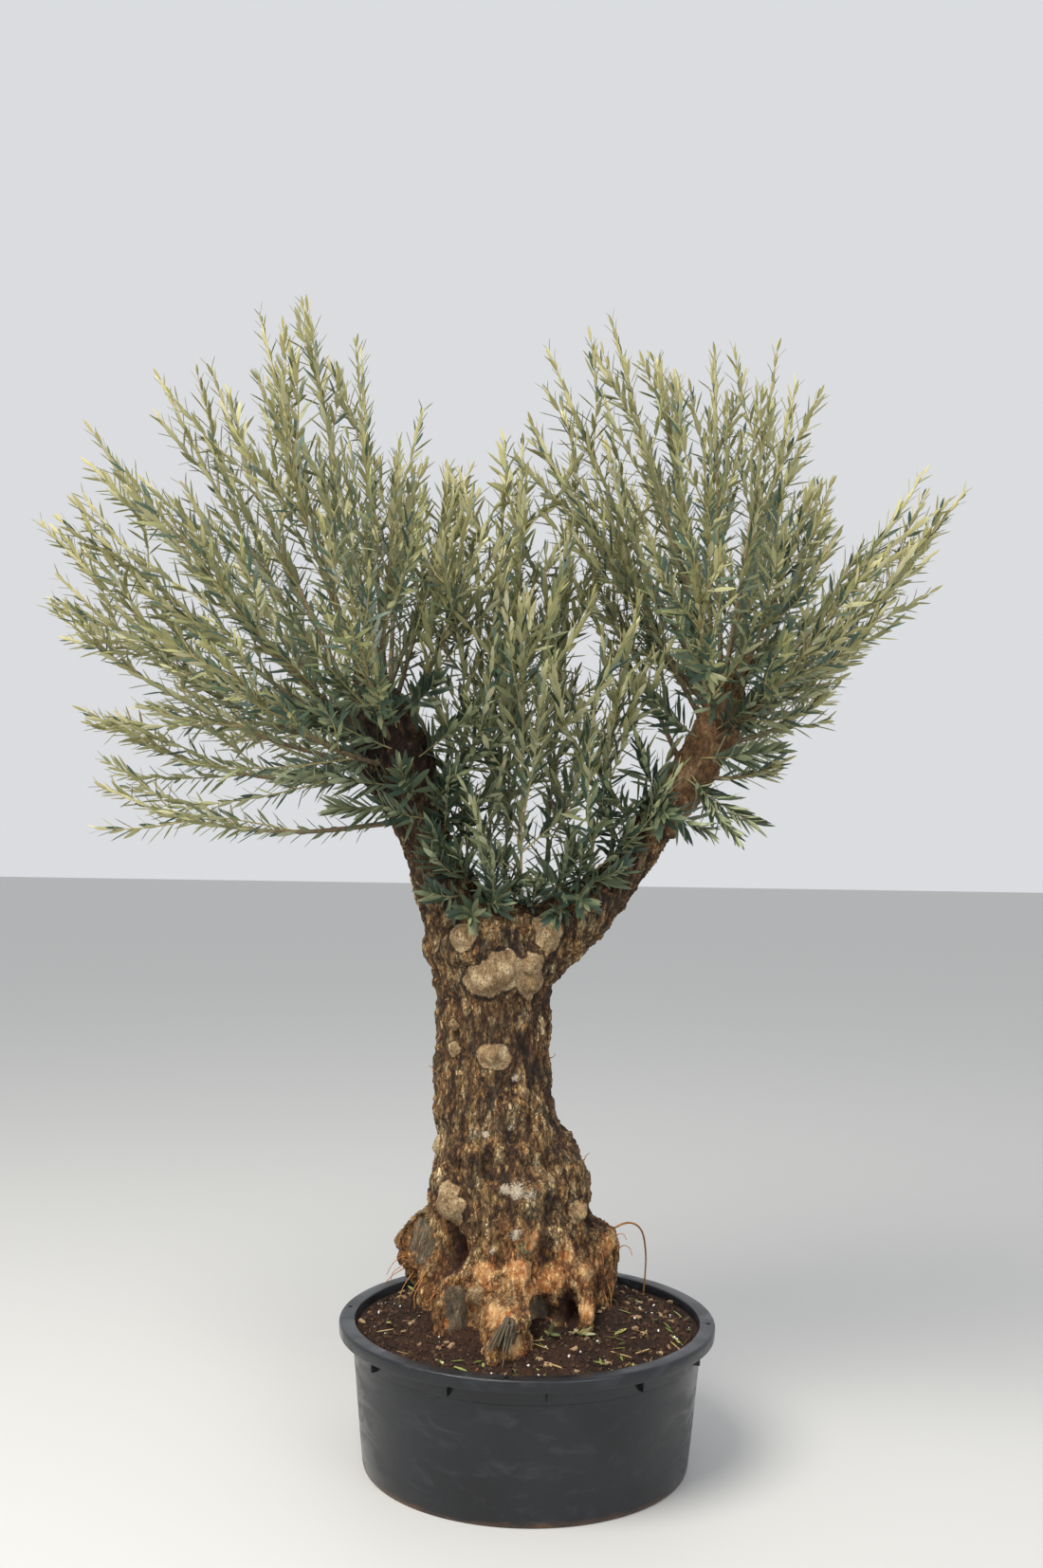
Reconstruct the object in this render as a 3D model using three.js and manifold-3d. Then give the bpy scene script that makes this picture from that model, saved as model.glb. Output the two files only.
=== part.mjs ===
// An old olive grown as a large bonsai: a stout knobbly trunk that forks into two pollarded limbs, each
// with a head of leafy boughs, rooted in a round nursery tub of soil.
// Millimetres, +Z up. The origin is the middle of the tub's underside on the ground. The front is -Y.
import * as THREE from "three";
import { mergeVertices } from "three/addons/utils/BufferGeometryUtils.js";
import Module from "manifold-3d";

const wasm = await Module();
wasm.setup();

// Tub
const TUB_HEIGHT = 324;
const TUB_BASE_RADIUS = 375;
const TUB_RIM_RADIUS = 434;
const TUB_MOUTH_RADIUS = 398;
const TUB_NECK_RADIUS = 406;
const TUB_WALL = 5;
const TUB_FLOOR = 6;
const TUB_SIDES = 42;
const SKIRT_DEPTH = 26;
const COLLAR_HEIGHT = 61;
const COLLAR_STEP = 2.5;
const GUSSETS = 12;
const GUSSET_THICKNESS = 4;
const GUSSET_TURN = THREE.MathUtils.degToRad(6);
const DRAIN_HOLES = 8;
const DRAIN_RADIUS = 12;
const DRAIN_CIRCLE = 290;
const TIE_HOLES = 4;
const TIE_CIRCLE = (TUB_MOUTH_RADIUS + TUB_RIM_RADIUS) / 2 + 2;
const TIE_HOLE_RADIUS = 5.5;
const HOLE_SIDES = 8;

// Soil
const SOIL_EDGE_HEIGHT = 304;
const SOIL_MOUND = 62;
const MOUND_RADIUS = 190;
const SOIL_RINGS = [360, 310, 255, 200];
// At the front the heap is raked away from the roots: where that starts and ends, and how much is gone.
const RAKED_FROM = 60;
const RAKED_TO = 260;
const RAKED_SHARE = 0.55;

// Trunk, measured from its own axis
const TRUNK_BURIED_TO = 190;
const TRUNK_TOP = 1285;
const TRUNK_SIDES = 26;
const TRUNK_RINGS = 19;
const LIMB_SIDES = 12;
const LIMB_RINGS = 9;
const TRUNK_DEPTH_SHARE = 0.94;
const STUB_SIDES = 8;
const BURL_SIDES = 7;
const BURL_RINGS = 5;

// Curly root
const CURLY_ROOT_RADIUS = 3;
const CURLY_ROOT_SIDES = 6;
const CURLY_ROOT_STEPS = 9;

// Boughs
const BOUGH_BASE_RADIUS = 9;
const BOUGH_TIP_RADIUS = 2.5;
const BOUGH_SIDES = 4;
const BOUGH_STEPS = 4;
const SHOOT_BASE_RADIUS = 4;
const SHOOT_TIP_RADIUS = 1.7;
const SHOOT_SIDES = 3;
const SHOOT_STEPS = 2;
const LEAF_LENGTH = 60;
const LEAF_WIDTH = 11;
const LEAF_THICKNESS = 2.4;
const LEAVES_ON_BOUGH = 2;
const LEAVES_ON_SHOOT = 1;
const LEAF_SPACING = 0.14;
const LEAF_OPENING = 0.7;

// Side shoots: how far along the bough the first one starts, how much further each next one, how
// wide they open in radians, how long they are against the bough, and how much shorter each next one.
const SIDE_SHOOTS = 2;
const FIRST_SHOOT = 0.42;
const NEXT_SHOOT = 0.22;
const SHOOT_JITTER = 0.05;
const SHOOT_OPENING = 0.5;
const SHOOT_REACH = 0.3;
const REACH_JITTER = 0.08;
const FIRST_REACH = 1.1;
const REACH_LOSS = 0.3;
const SHOOT_BEND = 0.35;

// Pieces that touch keep a hair's breadth between them.
const SEAT_GAP = 0.5;
const LEAF_CLEARANCE = 1.5;

const UP = new THREE.Vector3(0, 0, 1);
const ACROSS = new THREE.Vector3(1, 0, 0);
const GOLDEN_ANGLE = Math.PI * (3 - Math.sqrt(5));

const PLASTIC = { color: "#2b2e33", roughness: 0.5, metalness: 0 };
const SOIL = { color: "#3a2a20", roughness: 0.95, metalness: 0 };
const BARK = { color: "#6d5a45", roughness: 0.9, metalness: 0 };
const ROOT = { color: "#9a7a55", roughness: 0.85, metalness: 0 };
const LEAF = { color: "#6f7d5a", roughness: 0.6, metalness: 0 };

// Solids

function solidOf(geometry) {
  const bare = geometry.clone();
  bare.deleteAttribute("normal");
  bare.deleteAttribute("uv");
  const merged = mergeVertices(bare, 1e-3);
  return new wasm.Manifold(
    new wasm.Mesh({
      numProp: 3,
      vertProperties: new Float32Array(merged.attributes.position.array),
      triVerts: new Uint32Array(merged.index.array),
    }),
  );
}

function geometryOf(solid) {
  const mesh = solid.getMesh();
  const geometry = new THREE.BufferGeometry();
  geometry.setAttribute("position", new THREE.BufferAttribute(mesh.vertProperties, 3));
  geometry.setIndex(new THREE.BufferAttribute(mesh.triVerts, 1));
  return geometry;
}

function joined(solids) {
  return solids.reduce((all, next) => all.add(next));
}

// The largest body of a solid, without the crumbs that a cut can leave.
function mainBody(solid) {
  const bodies = solid.decompose();
  return bodies.reduce((best, next) => (next.volume() > best.volume() ? next : best));
}

// The solid made fatter all over: each corner moves out along its normal.
function fattened(solid, by) {
  const geometry = geometryOf(solid);
  geometry.computeVertexNormals();
  const place = geometry.attributes.position;
  const normal = geometry.attributes.normal;
  for (let i = 0; i < place.count; i += 1) {
    place.setXYZ(
      i,
      place.getX(i) + by * normal.getX(i),
      place.getY(i) + by * normal.getY(i),
      place.getZ(i) + by * normal.getZ(i),
    );
  }
  return solidOf(geometry);
}

function namedMesh(name, solid, finish) {
  const geometry = geometryOf(solid).toNonIndexed();
  geometry.computeVertexNormals();
  const mesh = new THREE.Mesh(geometry, new THREE.MeshStandardMaterial(finish));
  mesh.name = name;
  return mesh;
}

// Value of a smooth line through [place, value] pairs.
function along(pairs, place) {
  const last = pairs.length - 1;
  if (place <= pairs[0][0]) return pairs[0][1];
  if (place >= pairs[last][0]) return pairs[last][1];
  const next = pairs.findIndex(([at]) => at > place);
  const [from, low] = pairs[next - 1];
  const [to, high] = pairs[next];
  return THREE.MathUtils.lerp(low, high, THREE.MathUtils.smoothstep(place, from, to));
}

// A number between 0 and 1 that is always the same for the same seed.
function chance(seed) {
  const wave = Math.sin(seed * 12.9898 + 4.1414) * 43758.5453;
  return wave - Math.floor(wave);
}

// A closed tube along a curve, whose radius follows its length.
function stem(curve, radiusAt, sides, steps) {
  const geometry = new THREE.CylinderGeometry(1, 1, 1, sides, steps);
  const frames = curve.computeFrenetFrames(steps, false);
  const place = geometry.attributes.position;
  for (let i = 0; i < place.count; i += 1) {
    const share = place.getY(i) + 0.5;
    const step = Math.round(share * steps);
    const radius = radiusAt(share);
    const side = new THREE.Vector3().crossVectors(frames.normals[step], frames.tangents[step]);
    const point = curve
      .getPoint(share)
      .addScaledVector(frames.normals[step], radius * place.getX(i))
      .addScaledVector(side, radius * place.getZ(i));
    place.setXYZ(i, point.x, point.y, point.z);
  }
  return solidOf(geometry);
}

// Tub: one moulding with a flat floor, a flared wall, a flat lip with a turned-down skirt, and fins under it

function tubWallRadius(height) {
  const rise = TUB_HEIGHT - SKIRT_DEPTH;
  return THREE.MathUtils.lerp(TUB_BASE_RADIUS, TUB_NECK_RADIUS - COLLAR_STEP, height / rise);
}

function tubInnerRadius(height) {
  const share = (height - TUB_FLOOR) / (TUB_HEIGHT - TUB_FLOOR);
  return THREE.MathUtils.lerp(TUB_BASE_RADIUS - TUB_WALL, TUB_MOUTH_RADIUS, share);
}

function makeTub() {
  const skirtFoot = TUB_HEIGHT - SKIRT_DEPTH;
  const collarFoot = TUB_HEIGHT - COLLAR_HEIGHT;
  const lipUnderside = TUB_HEIGHT - TUB_WALL;
  const profile = [
    [0, 0],
    [TUB_BASE_RADIUS - 7, 0],
    [TUB_BASE_RADIUS, 8],
    [tubWallRadius(collarFoot - 2), collarFoot - 2],
    [tubWallRadius(collarFoot) + COLLAR_STEP, collarFoot + 1],
    [TUB_NECK_RADIUS, lipUnderside],
    [TUB_RIM_RADIUS - TUB_WALL, lipUnderside],
    [TUB_RIM_RADIUS - TUB_WALL, skirtFoot],
    [TUB_RIM_RADIUS - 1, skirtFoot],
    [TUB_RIM_RADIUS, TUB_HEIGHT - 4],
    [TUB_RIM_RADIUS - 4, TUB_HEIGHT],
    [TUB_MOUTH_RADIUS + 2, TUB_HEIGHT],
    [tubInnerRadius(TUB_HEIGHT - 2), TUB_HEIGHT - 2],
    [tubInnerRadius(TUB_FLOOR), TUB_FLOOR],
    [0, TUB_FLOOR],
  ];
  const points = profile.map(([radius, height]) => new THREE.Vector2(radius, height));
  const lathe = new THREE.LatheGeometry(points, TUB_SIDES).rotateX(Math.PI / 2);
  let tub = solidOf(lathe);

  const fin = new THREE.Shape([
    new THREE.Vector2(tubWallRadius(collarFoot), collarFoot),
    new THREE.Vector2(TUB_RIM_RADIUS - TUB_WALL + 2, skirtFoot + 3),
    new THREE.Vector2(TUB_RIM_RADIUS - TUB_WALL + 2, lipUnderside + 2),
    new THREE.Vector2(TUB_NECK_RADIUS - 3, lipUnderside + 2),
  ]);
  const finGeometry = new THREE.ExtrudeGeometry(fin, { depth: GUSSET_THICKNESS, bevelEnabled: false });
  finGeometry.translate(0, 0, -GUSSET_THICKNESS / 2).rotateX(Math.PI / 2);
  for (let i = 0; i < GUSSETS; i += 1) {
    const turn = -Math.PI / 2 + GUSSET_TURN + (i * 2 * Math.PI) / GUSSETS;
    tub = tub.add(solidOf(finGeometry.clone().rotateZ(turn)));
  }
  for (let i = 0; i < DRAIN_HOLES; i += 1) {
    const hole = new THREE.CylinderGeometry(DRAIN_RADIUS, DRAIN_RADIUS, 4 * TUB_FLOOR, HOLE_SIDES);
    hole.rotateX(Math.PI / 2).translate(DRAIN_CIRCLE, 0, 0);
    tub = tub.subtract(solidOf(hole.rotateZ(((i + 0.5) * 2 * Math.PI) / DRAIN_HOLES)));
  }
  for (let i = 0; i < TIE_HOLES; i += 1) {
    const hole = new THREE.CylinderGeometry(TIE_HOLE_RADIUS, TIE_HOLE_RADIUS, 4 * TUB_WALL, HOLE_SIDES);
    hole.rotateX(Math.PI / 2).translate(TIE_CIRCLE, 0, TUB_HEIGHT);
    tub = tub.subtract(solidOf(hole.rotateZ(-GUSSET_TURN + (i * 2 * Math.PI) / TIE_HOLES)));
  }
  return tub;
}

// Trunk: level rings about a slightly wandering axis, with root buttresses as bulges in the rings

const TRUNK_AXIS_X = [
  [0, -45], [560, -46], [700, -55], [800, -84], [950, -88], [1115, -92], [1285, -98],
];
const TRUNK_AXIS_Y = [
  [0, 15], [500, 10], [900, 0], [1285, 0],
];
const TRUNK_GIRTH = [
  [190, 135], [330, 148], [440, 166], [560, 184], [630, 188], [700, 166], [775, 143], [875, 137],
  [950, 133], [1050, 134], [1115, 143], [1165, 166], [1220, 158], [1285, 92],
];
// Each buttress: compass turn from +X in degrees, how far it bulges, its half width in degrees,
// the height where it is fullest and how far it reaches above and below that height.
const BUTTRESSES = [
  { turn: 164, bulge: 98, spread: 26, height: 478, above: 62, below: 190 },
  { turn: 12, bulge: 106, spread: 27, height: 470, above: 70, below: 180 },
  { turn: -127, bulge: 108, spread: 17, height: 330, above: 150, below: 260 },
  { turn: -96, bulge: 190, spread: 10, height: 300, above: 120, below: 260 },
  { turn: -82, bulge: 140, spread: 9, height: 300, above: 150, below: 260 },
  { turn: -47, bulge: 122, spread: 15, height: 320, above: 160, below: 260 },
  { turn: 55, bulge: 92, spread: 20, height: 380, above: 130, below: 240 },
  { turn: 98, bulge: 120, spread: 17, height: 350, above: 170, below: 250 },
  { turn: 132, bulge: 84, spread: 14, height: 400, above: 130, below: 250 },
  { turn: -15, bulge: 60, spread: 14, height: 350, above: 120, below: 200 },
  { turn: -158, bulge: 52, spread: 13, height: 350, above: 110, below: 200 },
];

// The trunk is a little out of round: three and five shallow lobes wind up it.
function trunkRadius(height, turn) {
  const lobes = 0.025 * Math.sin(3 * turn + height / 90) + 0.018 * Math.sin(5 * turn - height / 60);
  let radius = along(TRUNK_GIRTH, height) * (1 + lobes);
  for (const { turn: middle, bulge, spread, height: full, above, below } of BUTTRESSES) {
    const apart = turn - THREE.MathUtils.degToRad(middle);
    const sideways = Math.atan2(Math.sin(apart), Math.cos(apart)) / THREE.MathUtils.degToRad(spread);
    const upright = (height - full) / (height > full ? above : below);
    radius += bulge * Math.exp(-sideways * sideways - upright * upright);
  }
  return radius;
}

function trunkPoint(height, turn, share = 1) {
  const radius = share * trunkRadius(height, turn);
  return new THREE.Vector3(
    along(TRUNK_AXIS_X, height) + radius * Math.cos(turn),
    along(TRUNK_AXIS_Y, height) + TRUNK_DEPTH_SHARE * radius * Math.sin(turn),
    height,
  );
}

function makeTrunkBody() {
  const rise = TRUNK_TOP - TRUNK_BURIED_TO;
  const geometry = new THREE.CylinderGeometry(1, 1, rise, TRUNK_SIDES, TRUNK_RINGS);
  geometry.rotateX(Math.PI / 2).translate(0, 0, TRUNK_BURIED_TO + rise / 2);
  const place = geometry.attributes.position;
  for (let i = 0; i < place.count; i += 1) {
    const turn = Math.atan2(place.getY(i), place.getX(i));
    const share = Math.hypot(place.getX(i), place.getY(i));
    const point = trunkPoint(place.getZ(i), turn, share);
    place.setXYZ(i, point.x, point.y, point.z);
  }
  return solidOf(geometry);
}

// Each limb: the points of its centre line and its radius at each point.
const LIMBS = {
  left: [
    [-130, 0, 1130, 108], [-165, 0, 1220, 92], [-202, -4, 1310, 76], [-245, -10, 1400, 60],
    [-272, -14, 1480, 68], [-315, -20, 1585, 91], [-346, -24, 1650, 86], [-378, -26, 1730, 74],
    [-396, -26, 1795, 50],
  ],
  right: [
    [-60, 0, 1120, 100], [30, 0, 1195, 86], [105, 2, 1250, 75], [160, 6, 1300, 60],
    [205, 10, 1350, 51], [262, 16, 1425, 48], [328, 22, 1530, 52], [398, 28, 1640, 56],
    [434, 30, 1705, 57], [452, 30, 1775, 48], [470, 30, 1835, 34],
  ],
};

function limbCurve(limb) {
  return new THREE.CatmullRomCurve3(limb.map(([x, y, z]) => new THREE.Vector3(x, y, z)));
}

function limbRadius(limb, share) {
  const place = share * (limb.length - 1);
  const before = Math.min(Math.floor(place), limb.length - 2);
  return THREE.MathUtils.lerp(limb[before][3], limb[before + 1][3], place - before);
}

// Pale woody knobs on the front and sides of the trunk: across, height, half width and half height.
const BURLS = [
  [-100, 1113, 42, 38], [-62, 1150, 44, 42], [-2, 1152, 28, 28], [-8, 1106, 33, 31],
  [29, 1215, 30, 42], [-157, 1206, 28, 28], [-83, 937, 33, 27], [-178, 948, 15, 15],
  [-180, 1003, 12, 12], [-17, 861, 20, 20], [-33, 774, 20, 18], [-178, 603, 31, 38],
  [112, 586, 18, 22],
];
// Knobs where the photograph doesn't look: turn from +X in degrees, height and half size.
const BACK_BURLS = [
  [184, 711, 21], [75, 1060, 38], [112, 930, 30], [58, 800, 26], [128, 690, 34], [30, 960, 18],
];
const BURL_SUNK = 0.45;

function knob(centre, width, depth, height) {
  const geometry = new THREE.SphereGeometry(1, BURL_SIDES, BURL_RINGS);
  return solidOf(geometry.scale(width, depth, height).translate(centre.x, centre.y, centre.z));
}

function makeBurls() {
  const front = BURLS.map(([across, height, width, tall]) => {
    const radius = trunkRadius(height, -Math.PI / 2);
    const offAxis = Math.min(0.98, Math.abs(across - along(TRUNK_AXIS_X, height)) / radius);
    const deep = TRUNK_DEPTH_SHARE * radius * Math.sqrt(1 - offAxis * offAxis);
    const surface = new THREE.Vector3(across, along(TRUNK_AXIS_Y, height) - deep + BURL_SUNK * width, height);
    return knob(surface, width, width, tall);
  });
  const back = BACK_BURLS.map(([degrees, height, size]) => {
    const turn = THREE.MathUtils.degToRad(degrees);
    const share = 1 - (BURL_SUNK * size) / trunkRadius(height, turn);
    return knob(trunkPoint(height, turn, share), size, size, size);
  });
  return [...front, ...back];
}

// Stubs of sawn-off branches: from inside the limb to the sawn face, with the radius.
const SAWN_STUBS = [
  { from: [455, 20, 1770], to: [500, -22, 1868], radius: 21 },
  { from: [-380, -20, 1730], to: [-428, 40, 1822], radius: 24 },
  { from: [-330, -20, 1640], to: [-300, 72, 1690], radius: 20 },
];

function makeStub({ from, to, radius }) {
  const line = new THREE.LineCurve3(new THREE.Vector3(...from), new THREE.Vector3(...to));
  return stem(line, () => radius, STUB_SIDES, 1);
}

function makeTrunk() {
  const limbs = Object.values(LIMBS).map((limb) =>
    stem(limbCurve(limb), (share) => limbRadius(limb, share), LIMB_SIDES, LIMB_RINGS),
  );
  return mainBody(joined([makeTrunkBody(), ...limbs, ...makeBurls(), ...SAWN_STUBS.map(makeStub)]));
}

// Soil: it fills the tub to just under the lip and is heaped against the trunk

// Low clods: broad ones 5 mm high and finer ones across them 3 mm high.
function soilRelief(x, y) {
  return 5 * Math.sin(x / 47) * Math.cos(y / 61) + 3 * Math.sin((x + y) / 29);
}

function soilHeight(x, y) {
  const out = Math.hypot(x, y);
  const mound = 1 - THREE.MathUtils.smoothstep(out, MOUND_RADIUS, tubInnerRadius(SOIL_EDGE_HEIGHT));
  const raked = RAKED_SHARE * THREE.MathUtils.smoothstep(-y, RAKED_FROM, RAKED_TO);
  return SOIL_EDGE_HEIGHT + SOIL_MOUND * mound * (1 - raked) + mound * soilRelief(x, y);
}

function makeSoil(trunk) {
  const foot = TUB_FLOOR + SEAT_GAP;
  const edge = tubInnerRadius(SOIL_EDGE_HEIGHT) - SEAT_GAP;
  const profile = [
    [0, foot],
    [tubInnerRadius(foot) - SEAT_GAP, foot],
    [edge, SOIL_EDGE_HEIGHT],
    ...SOIL_RINGS.map((radius) => [radius, SOIL_EDGE_HEIGHT]),
    [0, SOIL_EDGE_HEIGHT],
  ];
  const points = profile.map(([radius, height]) => new THREE.Vector2(radius, height));
  const geometry = new THREE.LatheGeometry(points, TUB_SIDES).rotateX(Math.PI / 2);
  const place = geometry.attributes.position;
  for (let i = 0; i < place.count; i += 1) {
    const x = place.getX(i);
    const y = place.getY(i);
    const onTop = place.getZ(i) > SOIL_EDGE_HEIGHT - 1;
    if (onTop && Math.hypot(x, y) < edge - 1) place.setZ(i, soilHeight(x, y));
  }
  return mainBody(solidOf(geometry).subtract(fattened(trunk, SEAT_GAP)));
}

// Curly root: a thin loose root from the right-hand root lump down to the soil

function makeCurlyRoot(trunk, soil) {
  const path = new THREE.CatmullRomCurve3([
    new THREE.Vector3(190, 70, 500),
    new THREE.Vector3(246, 100, 526),
    new THREE.Vector3(282, 150, 500),
    new THREE.Vector3(294, 195, 432),
    new THREE.Vector3(294, 222, 366),
    new THREE.Vector3(288, 232, 300),
  ]);
  const whole = stem(path, () => CURLY_ROOT_RADIUS, CURLY_ROOT_SIDES, CURLY_ROOT_STEPS);
  return mainBody(whole.subtract(fattened(trunk, SEAT_GAP)).subtract(fattened(soil, SEAT_GAP)));
}

// Boughs: each grows from a limb or the fork to its own tip. A row is where on the limb it starts,
// from 0 at the fork to 1 at the limb's end, and the place of its outermost leaf.
const BOUGHS = {
  left: [
    [0.9, -330, -60, 2390], [0.93, -440, 60, 2640], [0.95, -575, -40, 2722], [0.95, -700, 90, 2735],
    [0.88, -785, -90, 2545], [0.9, -930, 20, 2545], [0.8, -1070, -70, 2390], [0.78, -1135, 90, 2265],
    [0.76, -1205, -30, 2175], [0.72, -1200, 110, 2065], [0.68, -1150, -120, 1955],
    [0.62, -1110, 30, 1725], [0.5, -1055, -40, 1540], [0.92, -300, -430, 2260],
    [0.85, -560, -520, 2330], [0.78, -800, -480, 2120], [0.66, -700, -560, 1830],
    [0.74, -390, -580, 1960], [0.9, -240, 380, 2300], [0.84, -520, 520, 2380],
    [0.76, -820, 460, 2200], [0.7, -560, 600, 1980], [0.64, -860, 430, 1800],
    [0.86, -200, 70, 2310], [0.8, -130, -150, 2080],
  ],
  right: [
    [0.84, -40, -80, 2420], [0.88, 0, 70, 2650], [0.92, 150, -50, 2690], [0.92, 285, 150, 2655],
    [0.95, 410, -10, 2625], [0.88, 540, -160, 2590], [0.97, 625, 60, 2570], [0.9, 720, 90, 2330],
    [0.86, 925, -30, 2330], [0.83, 1050, 60, 2305], [0.8, 850, -90, 2020], [0.76, 745, 60, 1815],
    [0.66, 612, -60, 1625], [0.82, 330, -480, 2290], [0.88, 560, -500, 2180],
    [0.8, 300, -560, 2040], [0.74, 640, -460, 1960], [0.94, 240, 470, 2400],
    [0.86, 600, 480, 2280], [0.8, 420, 600, 2080], [0.72, 720, 360, 1900],
    [0.78, 120, -130, 2240], [0.66, 165, 80, 2060],
  ],
  fork: [
    [0, -180, -120, 2130], [1, -30, -190, 2020], [2, 80, 130, 2230], [3, -90, 170, 2330],
    [4, 200, -110, 1870], [5, -40, 0, 2400],
  ],
};
const FORK_STARTS = [
  [-150, -20, 1225], [-30, -40, 1215], [20, 40, 1215], [-110, 50, 1225], [110, -10, 1240], [-70, 10, 1240],
];
const START_OFF_CENTRE = 0.6;
const BOUGH_SAG = 0.07;
const BOUGH_THIRD = 0.35;
const BOUGH_LATE = 0.72;
const TIP_LEAF = 45;

function boughCurve(start, leafTip) {
  const whole = new THREE.Vector3().subVectors(leafTip, start);
  const tip = leafTip.clone().addScaledVector(whole.clone().normalize(), -TIP_LEAF);
  const level = Math.hypot(whole.x, whole.y);
  const third = start.clone().lerp(tip, BOUGH_THIRD).addScaledVector(UP, -BOUGH_SAG * level);
  const late = start.clone().lerp(tip, BOUGH_LATE).addScaledVector(UP, -BOUGH_SAG * level);
  return new THREE.CatmullRomCurve3([start, third, late, tip]);
}

// A direction that opens by an angle from an axis, turned round that axis.
function opened(axis, opening, turn) {
  const isUpright = Math.abs(axis.z) > 0.9;
  const across = new THREE.Vector3().crossVectors(axis, isUpright ? ACROSS : UP);
  across.normalize().applyAxisAngle(axis, turn);
  return axis.clone().multiplyScalar(Math.cos(opening)).addScaledVector(across, Math.sin(opening));
}

function sideShoots(curve, seed) {
  const length = curve.getLength();
  return Array.from({ length: SIDE_SHOOTS }, (_, i) => {
    const share = FIRST_SHOOT + NEXT_SHOOT * i + SHOOT_JITTER * chance(seed + i);
    const axis = curve.getTangent(share);
    const way = opened(axis, SHOOT_OPENING, (seed + i) * GOLDEN_ANGLE);
    const from = curve.getPoint(share);
    const longer = SHOOT_REACH + REACH_JITTER * chance(seed + 7 * i + 3);
    const reach = length * longer * (FIRST_REACH - REACH_LOSS * i);
    const middle = from.clone().addScaledVector(way, reach * 0.5);
    const bend = way.clone().lerp(axis, SHOOT_BEND).normalize();
    return new THREE.CatmullRomCurve3([from, middle, middle.clone().addScaledVector(bend, reach * 0.5)]);
  });
}

// Leaf: a narrow flat blade that is pointed at both ends
function makeLeaf(base, way, turn) {
  const side = opened(way, Math.PI / 2, turn);
  const flat = new THREE.Vector3().crossVectors(way, side);
  const middle = base.clone().addScaledVector(way, LEAF_LENGTH / 2 - 2);
  const frame = new THREE.Matrix4().makeBasis(way, side, flat).setPosition(middle);
  const blade = new THREE.OctahedronGeometry(1);
  blade.scale(LEAF_LENGTH / 2, LEAF_WIDTH / 2, LEAF_THICKNESS / 2).applyMatrix4(frame);
  return solidOf(blade);
}

// Room that the boughs already made take up: each entry is a line with a radius.
const taken = [];
const BOUGH_ROOMS = 8;
const SHOOT_ROOMS = 3;

function apart(first, second) {
  const here = new THREE.Vector3();
  const there = new THREE.Vector3();
  const distances = [first.from, first.to, first.from.clone().lerp(first.to, 0.5)].map((point) => {
    new THREE.Line3(second.from, second.to).closestPointToPoint(point, true, here);
    return here.distanceTo(point);
  });
  [second.from, second.to, second.from.clone().lerp(second.to, 0.5)].forEach((point) => {
    new THREE.Line3(first.from, first.to).closestPointToPoint(point, true, there);
    distances.push(there.distanceTo(point));
  });
  return Math.min(...distances) - first.radius - second.radius;
}

function isFree(room, others) {
  return others.every((other) => apart(room, other) > LEAF_CLEARANCE);
}

function roomOf(curve, radius, steps) {
  const points = curve.getPoints(steps);
  return points.slice(1).map((to, i) => ({ from: points[i], to, radius }));
}

function makeBough(start, leafTip, seed, fatTrunk) {
  const curve = boughCurve(start, leafTip);
  const main = stem(
    curve,
    (share) => THREE.MathUtils.lerp(BOUGH_BASE_RADIUS, BOUGH_TIP_RADIUS, share),
    BOUGH_SIDES,
    BOUGH_STEPS,
  );
  const pieces = [main];
  const rooms = roomOf(curve, BOUGH_BASE_RADIUS, BOUGH_ROOMS);
  const stems = [curve];
  for (const side of sideShoots(curve, seed)) {
    const room = roomOf(side, SHOOT_BASE_RADIUS, SHOOT_ROOMS);
    if (!room.every((piece) => isFree(piece, taken))) continue;
    pieces.push(
      stem(
        side,
        (share) => THREE.MathUtils.lerp(SHOOT_BASE_RADIUS, SHOOT_TIP_RADIUS, share),
        SHOOT_SIDES,
        SHOOT_STEPS,
      ),
    );
    rooms.push(...room);
    stems.push(side);
  }
  stems.forEach((line, which) => {
    const leaves = which === 0 ? LEAVES_ON_BOUGH : LEAVES_ON_SHOOT;
    for (let i = 0; i < leaves; i += 1) {
      const share = 1 - LEAF_SPACING * i;
      const opening = i === 0 ? 0 : LEAF_OPENING;
      const way = opened(line.getTangent(share), opening, i * GOLDEN_ANGLE + seed + which);
      const base = line.getPoint(share);
      const room = { from: base, to: base.clone().addScaledVector(way, LEAF_LENGTH), radius: LEAF_WIDTH / 2 };
      if (!isFree(room, taken)) continue;
      pieces.push(makeLeaf(base, way, i * GOLDEN_ANGLE));
      rooms.push(room);
    }
  });
  taken.push(...rooms);
  return mainBody(joined(pieces).subtract(fatTrunk));
}

// A bough starts inside the wood, off the limb's centre line towards the side that it grows out of.
function startOf(place, where, tip) {
  if (place === "fork") return new THREE.Vector3(...FORK_STARTS[where]);
  const curve = limbCurve(LIMBS[place]);
  const centre = curve.getPoint(where);
  const axis = curve.getTangent(where);
  const way = new THREE.Vector3().subVectors(tip, centre);
  way.addScaledVector(axis, -way.dot(axis)).normalize();
  return centre.addScaledVector(way, START_OFF_CENTRE * limbRadius(LIMBS[place], where));
}

// Assembly

const olive = new THREE.Group();
const trunk = makeTrunk();
const fatTrunk = fattened(trunk, SEAT_GAP);
const soil = makeSoil(trunk);

olive.add(namedMesh("pot", makeTub(), PLASTIC));
olive.add(namedMesh("soil", soil, SOIL));
olive.add(namedMesh("trunk", trunk, BARK));
olive.add(namedMesh("curly_root", makeCurlyRoot(trunk, soil), ROOT));

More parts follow.
